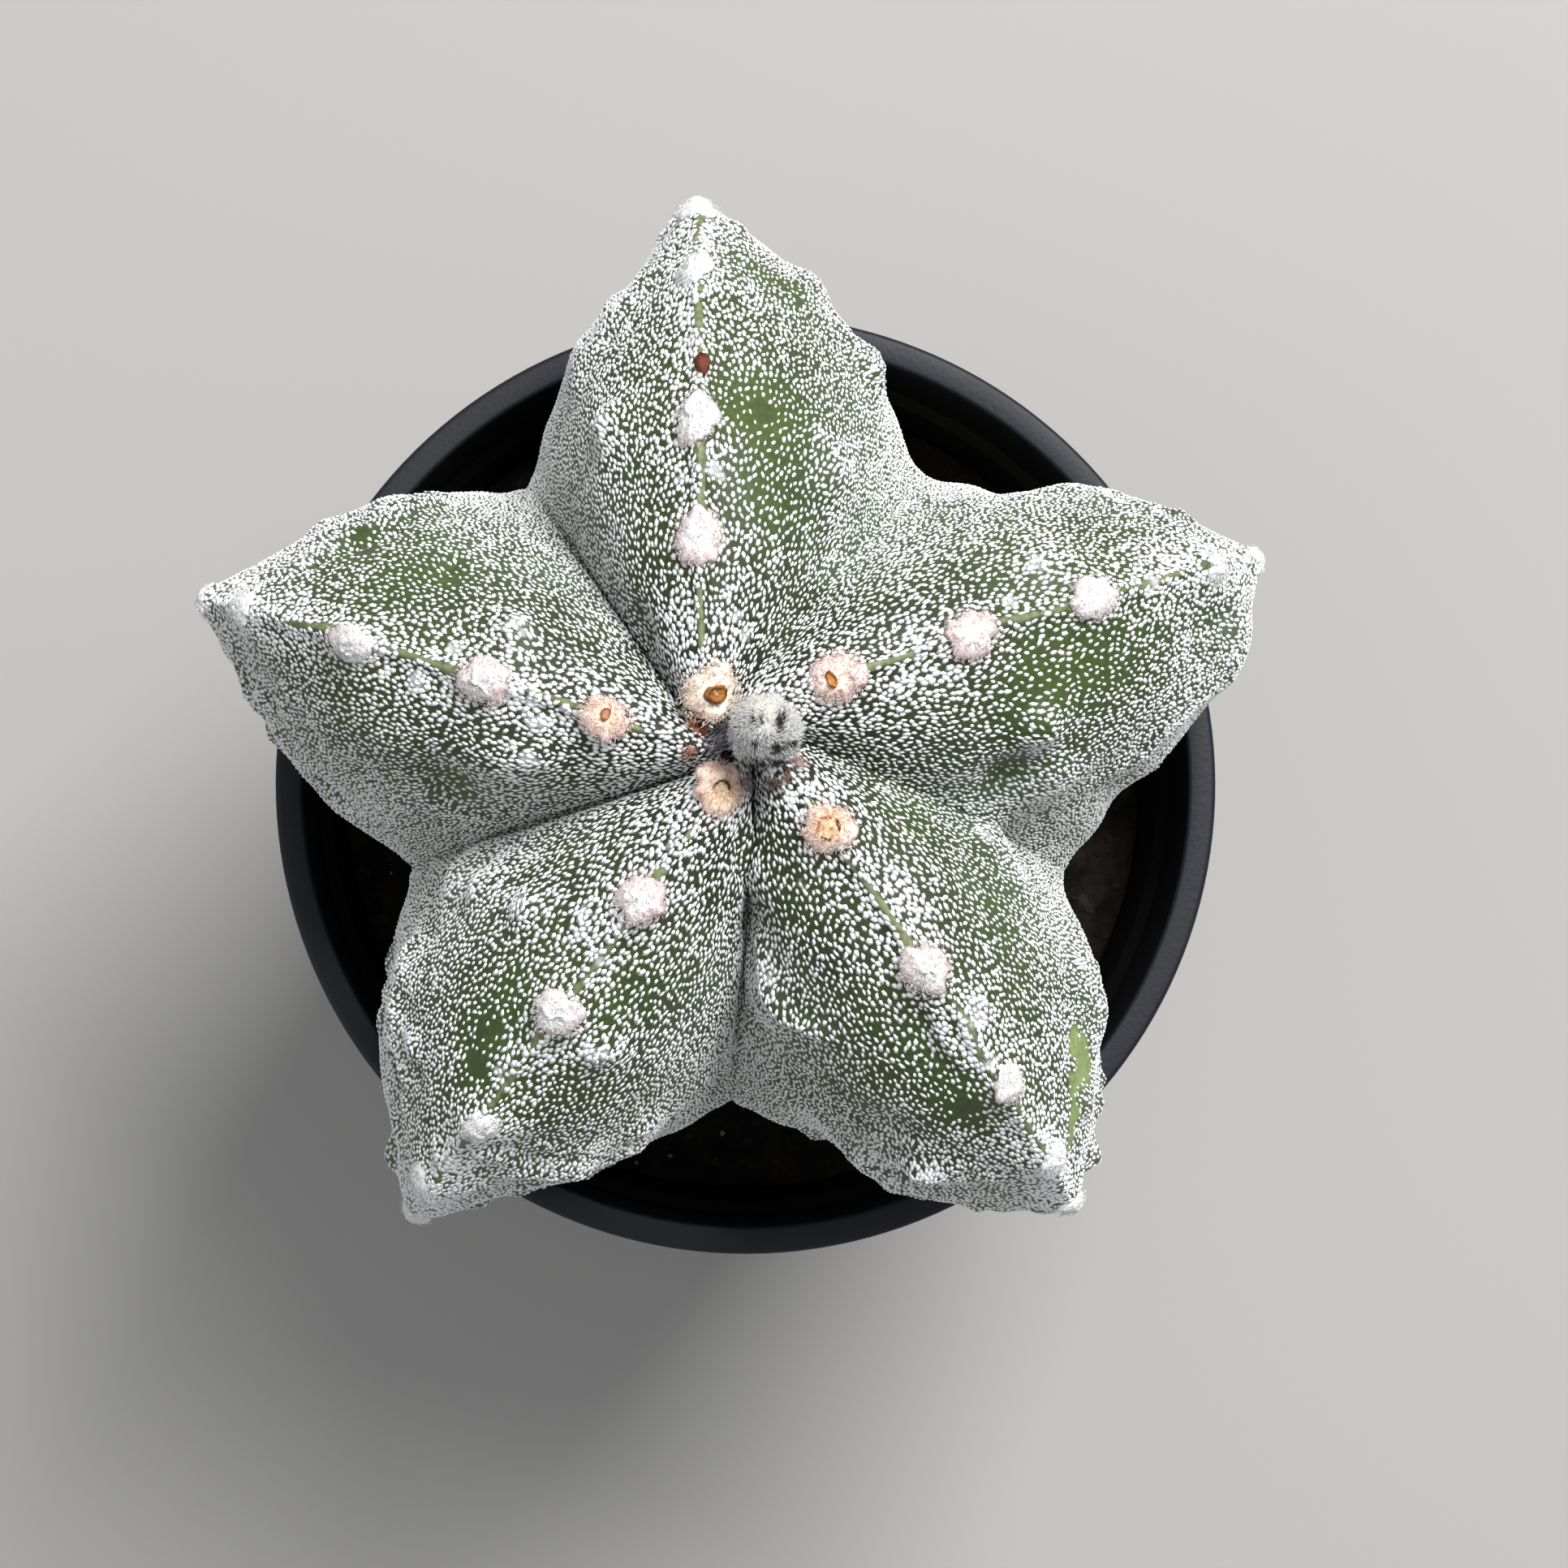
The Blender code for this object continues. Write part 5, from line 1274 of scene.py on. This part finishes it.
def bud_down(count, draw):
    """Silvery hairs that swirl down from the tip. They are creamy on top towards the back left, the
    side towards the light, partly as painted light; grey below; and dark in a few patches where the
    scales' points come through."""
    level = 1 - draw.uniform(0.0, 0.96, count) ** 0.9
    angle = draw.uniform(0, TURN, count)
    root = bud_form(angle, level, -0.05 * MM)
    radial = np.stack([np.cos(angle), np.sin(angle), np.zeros(count)], -1)
    around = np.stack([-np.sin(angle), np.cos(angle), np.zeros(count)], -1)
    steep = np.sin(level * math.pi / 2)[:, None]
    outward = radial * (1.05 - steep) + np.array([0, 0, 1.0]) * steep
    slide = radial * steep - np.array([0, 0, 1.0]) * (1.05 - steep)
    swirl = around * draw.uniform(-0.3, 1.3, (count, 1))
    leave = outward * 0.20 + slide * 0.55 + swirl * 0.6 + directions(draw, count) * 0.45
    end = outward * -0.30 + slide * 0.6 + swirl + directions(draw, count) * 0.75
    length, width = draw.uniform(0.45, 1.1, count) * MM, draw.uniform(0.045, 0.08, count) * MM
    hairs = blades(root, leave, end, length, width)
    bends = hairs[:, 3:6].mean(1)
    tint, dark = bud_tint(bends)
    tint = tint * draw.uniform(0.8, 1.15, (count, 1))
    below = bends[:, 1] < BUD_MIDDLE[1] + 0.3 * BUD_RADIUS
    inky = (draw.uniform(size=count) < 1.5 * dark + 0.08 * below)[:, None]
    return hairs, np.clip(np.where(inky, np.array(INKY), tint), 0, 0.97)


draw = np.random.default_rng(41)
hair_piece("bud_down", [bud_down(DOWN_HAIRS, draw)])

# %% [markdown]
# The bud stands on a pad of wool that fills the crown's pit, with a tuft of dark grey hair beside it
# and fluffs of rusty and brown wool round its foot.
# %% Wool of the crown
# Each tuft: its middle from the plant's axis and its spread in mm, its count, the way it leans, its
# tint, how many of its hairs get a painted glint, and the length of its hairs as a multiple.
TUFTS = (
    (-4.3, 0.9, 1.0, 260, (0.7, 0.25), (0.10, 0.095, 0.11), 0.9, 2.4),
    (-4.6, -0.6, 0.8, 120, (0.5, 0.7), (0.22, 0.21, 0.23), 0.6, 2.0),
    (-5.9, 2.2, 0.7, 150, (-0.2, 0.3), (0.42, 0.13, 0.05), 0.3, 1.1),
    (-6.4, -0.3, 0.7, 150, (-0.3, 0.0), (0.48, 0.22, 0.15), 0.3, 1.0),
    (-5.2, 1.5, 0.6, 80, (0.0, 0.4), (0.30, 0.10, 0.05), 0.3, 1.1),
    (3.1, -0.9, 0.7, 130, (0.4, -0.2), (0.55, 0.36, 0.33), 0.3, 1.0),
    (0.8, -2.9, 0.6, 110, (0.1, -0.4), (0.24, 0.15, 0.12), 0.3, 0.9),
    (2.0, -2.3, 0.5, 60, (0.3, -0.4), (0.42, 0.25, 0.19), 0.3, 0.9),
    (-1.2, 4.0, 0.8, 120, (0.1, 0.5), (0.60, 0.54, 0.46), 0.3, 1.2),
    (-2.4, -2.6, 0.7, 100, (-0.3, -0.4), (0.55, 0.38, 0.28), 0.3, 1.1),
    (-1.6, -2.9, 0.6, 110, (0.5, -0.5), (0.20, 0.19, 0.20), 1.0, 1.0),
    (-0.3, -3.4, 0.6, 110, (0.7, -0.4), (0.16, 0.15, 0.16), 1.0, 1.0),
    (1.0, -3.2, 0.5, 80, (0.8, -0.2), (0.10, 0.08, 0.08), 0.8, 0.9),
)
# How many times brighter a hair with a painted glint is.
GLINT_BRIGHTNESS = 3.2
WOOL_RADIUS, WOOL_TOP, WOOL_FOOT, WOOL_LIMIT = 3.1, 153.3 * MM, 148.8 * MM, 153.45 * MM
WOOL_RINGS, WOOL_STEPS, BROWN_WOOL = 14, 48, (0.20, 0.14, 0.11)


def crown_height(place):
    """The height of the skin near the crown: that of the nearest grid point, seen from above."""
    near = skin_grid[:26].reshape(-1, 3)
    far = np.sum((place[:, None] - near[None, :, :2]) ** 2, -1)
    return near[np.argmin(far, 1), 2]


def crown_tuft(x, y, spread, count, lean, tone, glinting, length, draw):
    """The hairs of one tuft in the crown, which rise, lean its way and fall back, and their tints, with
    some painted brighter as glints.
    """
    place = np.array([x, y]) + draw.normal(0, spread * 0.5, (count, 2))
    root = np.column_stack([place * MM, crown_height(place * MM)])
    away = np.column_stack([np.tile(lean, (count, 1)), np.full(count, 0.7)])
    leave = away + directions(draw, count) * 0.5
    end = away * np.array([1.5, 1.5, 0.1]) + directions(draw, count) * 0.6
    hairs = blades(root, leave, end, draw.uniform(0.6, 1.1, count) * length * MM,
                   draw.uniform(0.05, 0.09, count) * MM)
    # Painted highlight: some hairs of a tuft are painted several times brighter as glints.
    glint = np.where(draw.uniform(size=(count, 1)) < 0.3 * glinting, GLINT_BRIGHTNESS, 1.0)
    glint = glint * draw.uniform(0.6, 1.35, (count, 1))
    return hairs, np.clip(np.array(tone) * glint, 0, 0.8)


pad_angle, pad_share = np.meshgrid(np.arange(WOOL_STEPS) / WOOL_STEPS * TURN,
                                   np.linspace(0, 1, WOOL_RINGS + 1)[1:])
draw = np.random.default_rng(43)
pad_radius = WOOL_RADIUS * pad_share * (1 + 0.05 * np.sin(5 * pad_angle))
pad_radius = (pad_radius + draw.normal(0, 0.05, pad_share.shape)) * MM
pad_top = WOOL_TOP - 2.6 * MM * pad_share**5 + draw.normal(0, 0.06, pad_share.shape) * MM
pad = np.stack([BUD_MIDDLE[0] + pad_radius * np.cos(pad_angle),
                BUD_MIDDLE[1] + pad_radius * np.sin(pad_angle), np.minimum(pad_top, WOOL_LIMIT)], -1)
points, faces = closed(pad, (*BUD_MIDDLE, WOOL_TOP), (*BUD_MIDDLE, WOOL_FOOT))
tone = np.array(BROWN_WOOL) * draw.uniform(0.6, 1.3, (len(points), 1))
mesh_piece("crown_pad", points, faces, felt.material, tone)
hair_piece("crown_wool", [crown_tuft(*row, draw) for row in TUFTS])

# %% [markdown]
# ## The soil
# Seen between the ribs the soil is almost black: damp peat with crumbs, a few chips of bark and a
# little pale grit. The surface is a ring from the plant's foot to the pot's wall, raised by seeded
# bells of the solids' soil and by finer ones, and the crumbs are small rough stones set into it.
# %% Relief of the soil
RIM_RADIUS, FOOT_RADIUS, WALL = 50 * MM, 37 * MM, 1.0 * MM
LIP_WIDTH, SKIRT_DEPTH, SHOULDER_HEIGHT, SHOULDER_STEP = 3 * MM, 9 * MM, 78 * MM, 1.1 * MM
FLOOR_THICKNESS, CHANNEL_RISE, CHANNEL_RADII = 1.4 * MM, 2.6 * MM, (11 * MM, 33.5 * MM)
INSIDE = RIM_RADIUS - LIP_WIDTH
SHOULDER = INSIDE - 0.7 * MM
GAP = 0.3 * MM
SOIL_BELLS, SOIL_RINGS = 90, 46
HOLE_FOOT, HOLE_BOTTOM = 60.7 * MM, 60.6 * MM
soil_floor = CHANNEL_RISE + FLOOR_THICKNESS + GAP


def inner_wall(height):
    """The radius of the pot's inner wall below its shoulder, a straight taper."""
    top = SHOULDER - SHOULDER_STEP
    return FOOT_RADIUS - WALL + (top - FOOT_RADIUS + WALL) * height / SHOULDER_HEIGHT


def soil_relief(x, y):
    """The height of the soil's crumbs over its level: the highest of ninety seeded bells."""
    draw = np.random.default_rng(LUMP_SEED + 1)
    height = np.zeros(np.shape(x))
    for _ in range(SOIL_BELLS):
        angle = draw.uniform(0, TURN)
        far = draw.uniform(24, 43) * MM
        wide = draw.uniform(1.8, 3.4) * MM
        high = draw.uniform(0.3, 1.6) * MM
        gone = (x - far * math.cos(angle)) ** 2 + (y - far * math.sin(angle)) ** 2
        height = np.maximum(height, high * np.exp(-gone / wide**2))
    return height


def level_ring(radius, height):
    """A round ring of the soil at a height, with its points at the hole's angles."""
    return np.column_stack([np.cos(around) * radius, np.sin(around) * radius,
                            np.full(len(around), height)])


hole = skin_grid[-1, ::2].copy()
away = hole[:, :2] - np.array(AXIS)
hole[:, :2] += away / np.linalg.norm(away, axis=1, keepdims=True) * 0.1 * MM
around = np.arctan2(hole[:, 1], hole[:, 0])
rim = level_ring(inner_wall(SOIL_HEIGHT) - GAP / 3, SOIL_HEIGHT)[:, :2]
share = np.linspace(0, 1, SOIL_RINGS)[:, None, None]
flat = hole[None, :, :2] * (1 - share) + rim[None] * share
draw = np.random.default_rng(51)
fine = 0.22 * MM * wander(flat[..., 0] / MM, 52, 1.9, 3.1) * wander(flat[..., 1] / MM, 53, 2.3, 3.7)
fine = fine + draw.normal(0, 0.09, flat.shape[:2]) * MM
settle = np.minimum(1, 2.5 * share[..., 0])
soil_top = SOIL_HEIGHT + (soil_relief(flat[..., 0], flat[..., 1]) + fine) * settle
soil_grid = np.concatenate([flat, soil_top[..., None]], -1)
walls = [level_ring(inner_wall(height) - inset, height) for height, inset in
         ((35 * MM, GAP), (soil_floor + 1 * MM, GAP), (soil_floor, 1.4 * MM))]
inside = [shrunk(hole, 0.90, HOLE_FOOT), shrunk(hole, 1.0, SOIL_HEIGHT - HOLE_SIDE)]
points, faces = closed(np.stack([*inside, *soil_grid, *walls]), (*AXIS, HOLE_BOTTOM), (0, 0, soil_floor))
peat = Finish("potting_mix", 0.92, Specular_IOR_Level=0.2)
clods, dust = peat.noise(0.004, 4.0), peat.noise(0.0009, 3.0)
tone = peat.mix(clods.ramp(0.4, 0.65), (0.006, 0.005, 0.0045), (0.020, 0.015, 0.012))
peat.colour(peat.shade(tone, dust * 1.2 + 0.4))
peat.bump(dust, 0.4 * MM)
soil = mesh_piece("soil", points, faces, peat.material)
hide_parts("soil")


# %% Crumbs, bark and grit
def stones(place, size, squash, draw):
    """Rough stones (n, 14, 3): the corners and face middles of a cube drawn onto a ball, each pushed
    in or out at random, flattened and turned."""
    corner = np.array([(x, y, z) for x in (-1, 1) for y in (-1, 1) for z in (-1, 1)]) / math.sqrt(3)
    face = np.array([(-1, 0, 0), (1, 0, 0), (0, -1, 0), (0, 1, 0), (0, 0, -1), (0, 0, 1)], float)
    ball = np.concatenate([corner, face])
    ball = ball * draw.uniform(0.72, 1.15, (len(place), len(ball), 1))
    ball = ball * (size[:, None] * squash)[:, None]
    spin = draw.uniform(0, TURN, len(place))
    cosine, sine = np.cos(spin)[:, None], np.sin(spin)[:, None]
    x = ball[..., 0] * cosine - ball[..., 1] * sine
    y = ball[..., 0] * sine + ball[..., 1] * cosine
    return place[:, None] + np.stack([x, y, ball[..., 2]], -1)


def stone_faces():
    """The 24 triangles of a stone, from each face middle of its cube to that face's four corners."""
    quads = [(8, (0, 1, 3, 2)), (9, (4, 6, 7, 5)), (10, (0, 4, 5, 1)), (11, (2, 3, 7, 6)),
             (12, (0, 2, 6, 4)), (13, (1, 5, 7, 3))]
    return np.array([(middle, ring[k], ring[(k + 1) % 4]) for middle, ring in quads for k in range(4)])


def on_soil(count, sink, draw):
    """Random places on the soil's surface, sunk by so many metres."""
    row, column = draw.uniform(2, SOIL_RINGS - 3, count), draw.uniform(0, len(around), count)
    place = blended(soil_grid, row, column)
    place[:, 2] -= sink
    return place


draw = np.random.default_rng(61)
# Each kind: name, count, least and greatest half size in mm, shape, darkest and lightest tint.
KINDS = (
    ("crumbs", 620, (0.25, 0.85), (1.0, 0.9, 0.7), (0.012, 0.010, 0.008), (0.035, 0.027, 0.021)),
    ("bark", 46, (0.8, 1.7), (1.3, 0.6, 0.4), (0.030, 0.019, 0.012), (0.070, 0.042, 0.026)),
    ("grit", 52, (0.22, 0.5), (1.0, 0.9, 0.8), (0.22, 0.19, 0.15), (0.42, 0.38, 0.32)),
)
mineral = Finish("soil_bits", 0.85, Specular_IOR_Level=0.25)
mottle = mineral.noise(0.0006, 3.0)
mineral.colour(mineral.shade(mineral.attribute("tint", colour=True), mottle * 1.0 + 0.5))
mineral.bump(mottle, 0.2 * MM)
for name, count, sizes, squash, dark, light in KINDS:
    size = draw.uniform(*sizes, count) * MM
    bits = stones(on_soil(count, size * 0.25, draw), size, np.array(squash), draw)
    tone = np.array(dark) + (np.array(light) - np.array(dark)) * draw.uniform(0, 1, (count, 1))
    repeated_piece(f"soil_{name}", bits, tone[:, None], [stone_faces()], mineral.material,
                   smooth=False)

# %% [markdown]
# ## The pot
# The pot is a thin turned shell of satin black polypropylene. Its half section is the solid's own,
# with the edges of the lip and foot rounded, and it is turned in 168 steps so that the rim is round
# from close up. Eight drain holes are cut through the raised channel of its foot by short cylinders.
# %% Section of the pot
SHOULDER_TOP, UNDER_LIP = SHOULDER_HEIGHT + 1.2 * MM, POT_HEIGHT - 1.2 * MM
SKIRT_FOOT = POT_HEIGHT - SKIRT_DEPTH
CHANNEL_IN, CHANNEL_OUT = CHANNEL_RADII
RAISED_FLOOR = CHANNEL_RISE + FLOOR_THICKNESS
POT_TURNS = 168


def quarter(centre, radius, start, steps=5):
    """Points of a quarter circle round (r, z), turning clockwise from an angle in degrees."""
    angle = np.radians(start - np.linspace(0, 90, steps))
    return [(centre[0] + radius * math.cos(a), centre[1] + radius * math.sin(a)) for a in angle]


pot_section = [
    (CHANNEL_IN - 1 * MM, FLOOR_THICKNESS), (CHANNEL_IN + 1 * MM, RAISED_FLOOR),
    (inner_wall(RAISED_FLOOR) - 1 * MM, RAISED_FLOOR),
    (inner_wall(RAISED_FLOOR + 1 * MM), RAISED_FLOOR + 1 * MM),
    (inner_wall(SHOULDER_HEIGHT), SHOULDER_HEIGHT), (SHOULDER, SHOULDER_TOP),
    *quarter((INSIDE + 0.5 * MM, POT_HEIGHT - 0.5 * MM), 0.5 * MM, 180),
    *quarter((RIM_RADIUS - 0.6 * MM, POT_HEIGHT - 0.6 * MM), 0.6 * MM, 90),
    (RIM_RADIUS - 0.4 * MM, SKIRT_FOOT), (RIM_RADIUS - 0.4 * MM - WALL, SKIRT_FOOT),
    (RIM_RADIUS - WALL, UNDER_LIP), (INSIDE + WALL, UNDER_LIP),
    (SHOULDER + WALL, SHOULDER_TOP - 0.4 * MM),
    (inner_wall(SHOULDER_HEIGHT) + WALL, SHOULDER_HEIGHT - 0.4 * MM), (FOOT_RADIUS, 0.6 * MM),
    (FOOT_RADIUS - 0.5 * MM, 0.0), (CHANNEL_OUT + 0.6 * MM, 0.0), (CHANNEL_OUT - 0.6 * MM, CHANNEL_RISE),
    (CHANNEL_IN + 1 * MM, CHANNEL_RISE), (CHANNEL_IN - 1 * MM, 0.0),
]
pot_turn = np.arange(POT_TURNS) / POT_TURNS * TURN
radius, height = np.array(pot_section).T[..., None]
shell = np.stack([radius * np.cos(pot_turn), radius * np.sin(pot_turn),
                  np.repeat(height, POT_TURNS, 1)], -1)
print("pot section has", len(pot_section), "points")

# %% Finish of the pot
plastic = Finish("pot_plastic", 0.42, Specular_IOR_Level=0.3)
height = plastic.node("ShaderNodeSeparateXYZ", {}, {0: plastic.place}, "Z")
cloud, fine_grain = plastic.noise(0.02, 4.0), plastic.noise(0.0006, 2.0)
dusty = cloud.ramp(0.45, 0.75) * 0.35
# Painted highlight: towards the top of the pot, on its lip, the black turns a lighter, bluish black
# where the rim catches the light.
tone = plastic.mix(height.ramp(0.080, 0.0895), (0.004, 0.004, 0.005), (0.0060, 0.0074, 0.0125))
plastic.colour(plastic.mix(dusty, tone, (0.016, 0.015, 0.0145)))
plastic.feed(plastic.shader.inputs["Roughness"], 0.42 + cloud * 0.2)
plastic.bump(fine_grain, 0.03 * MM)

# %% Turned shell with its holes
DRAIN_HOLES, HOLE_STEPS, HOLE_CIRCLE, HOLE_RADIUS = 8, 28, 26 * MM, 3.2 * MM
DRILL_ENDS = (5.6 * MM, -0.4 * MM)


def circle(angles, radius):
    """Points (n, 2) of a circle at angles."""
    return radius * np.stack([np.cos(angles), np.sin(angles)], -1)


points, faces = closed(shell, (0, 0, FLOOR_THICKNESS), (0, 0, 0))
pot = mesh_piece("pot_shell", points, faces, plastic.material)
middle = circle((np.arange(DRAIN_HOLES) + 0.5) * TURN / DRAIN_HOLES, HOLE_CIRCLE)
disc = circle(np.arange(HOLE_STEPS) / HOLE_STEPS * TURN, HOLE_RADIUS)
drill_points, drill_faces = [], []
for hole, (x, y) in enumerate(middle):
    rings = np.stack([np.column_stack([disc + (x, y), np.full(HOLE_STEPS, end)]) for end in DRILL_ENDS])
    points, faces = closed(rings, *((x, y, end) for end in DRILL_ENDS))
    drill_points += points.tolist()
    drill_faces += [tuple(face + hole * len(points)) for part in faces for face in part]
drill_mesh = bpy.data.meshes.new("drain_holes")
drill_mesh.from_pydata(drill_points, [], drill_faces)
drill = bpy.data.objects.new("drain_holes", drill_mesh)
bpy.context.scene.collection.objects.link(drill)
cut = pot.modifiers.new("drain_holes", "BOOLEAN")
cut.operation, cut.object, cut.solver = "DIFFERENCE", drill, "EXACT"
bpy.context.view_layer.update()
pierced = bpy.data.meshes.new_from_object(pot.evaluated_get(bpy.context.evaluated_depsgraph_get()))
pot.modifiers.clear()
pot.data = pierced
pierced.set_sharp_from_angle(angle=math.radians(35))
bpy.data.objects.remove(drill)
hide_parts("pot")
print("pot has", len(pierced.polygons), "faces after its holes are cut")

# %% [markdown]
# ## Floor and light
# A plain pale floor, one large soft light high at the back right, a weaker one at the front left and
# an even sky. The Standard view keeps the flecks as white as they look in daylight.
# %% Stage
FLOOR_HALF, FLOOR_COLOUR = 3, (0.36, 0.35, 0.335, 1.0)
SKY_COLOUR, SKY_STRENGTH = (0.93, 0.96, 1.0, 1.0), 0.47
AIM = Vector((0, 0, 0.1))
floor_mesh = bpy.data.meshes.new("floor")
corners = [(x * FLOOR_HALF, y * FLOOR_HALF, 0) for x, y in ((-1, -1), (1, -1), (1, 1), (-1, 1))]
floor_mesh.from_pydata(corners, [], [(0, 1, 2, 3)])
paper = Finish("floor", 0.8)
paper.colour(FLOOR_COLOUR)
floor_mesh.materials.append(paper.material)
floor = bpy.data.objects.new("floor", floor_mesh)
bpy.context.scene.collection.objects.link(floor)


def soft_light(name, place, power, size):
    """An area light of a size in metres at a place, turned towards the plant."""
    lamp = bpy.data.lights.new(name, "AREA")
    lamp.energy, lamp.size = power, size
    light = bpy.data.objects.new(name, lamp)
    light.location = place
    light.rotation_euler = (AIM - Vector(place)).to_track_quat("-Z", "Y").to_euler()
    bpy.context.scene.collection.objects.link(light)


soft_light("key", (0.32, 0.48, 0.96), 17.5, 0.50)
soft_light("fill", (-0.70, -0.40, 0.70), 1.2, 0.8)
sky = bpy.data.worlds.new("sky")
sky.use_nodes = True
sky.node_tree.nodes["Background"].inputs["Color"].default_value = SKY_COLOUR
sky.node_tree.nodes["Background"].inputs["Strength"].default_value = SKY_STRENGTH
bpy.context.scene.world = sky
bpy.context.scene.view_settings.view_transform = "Standard"
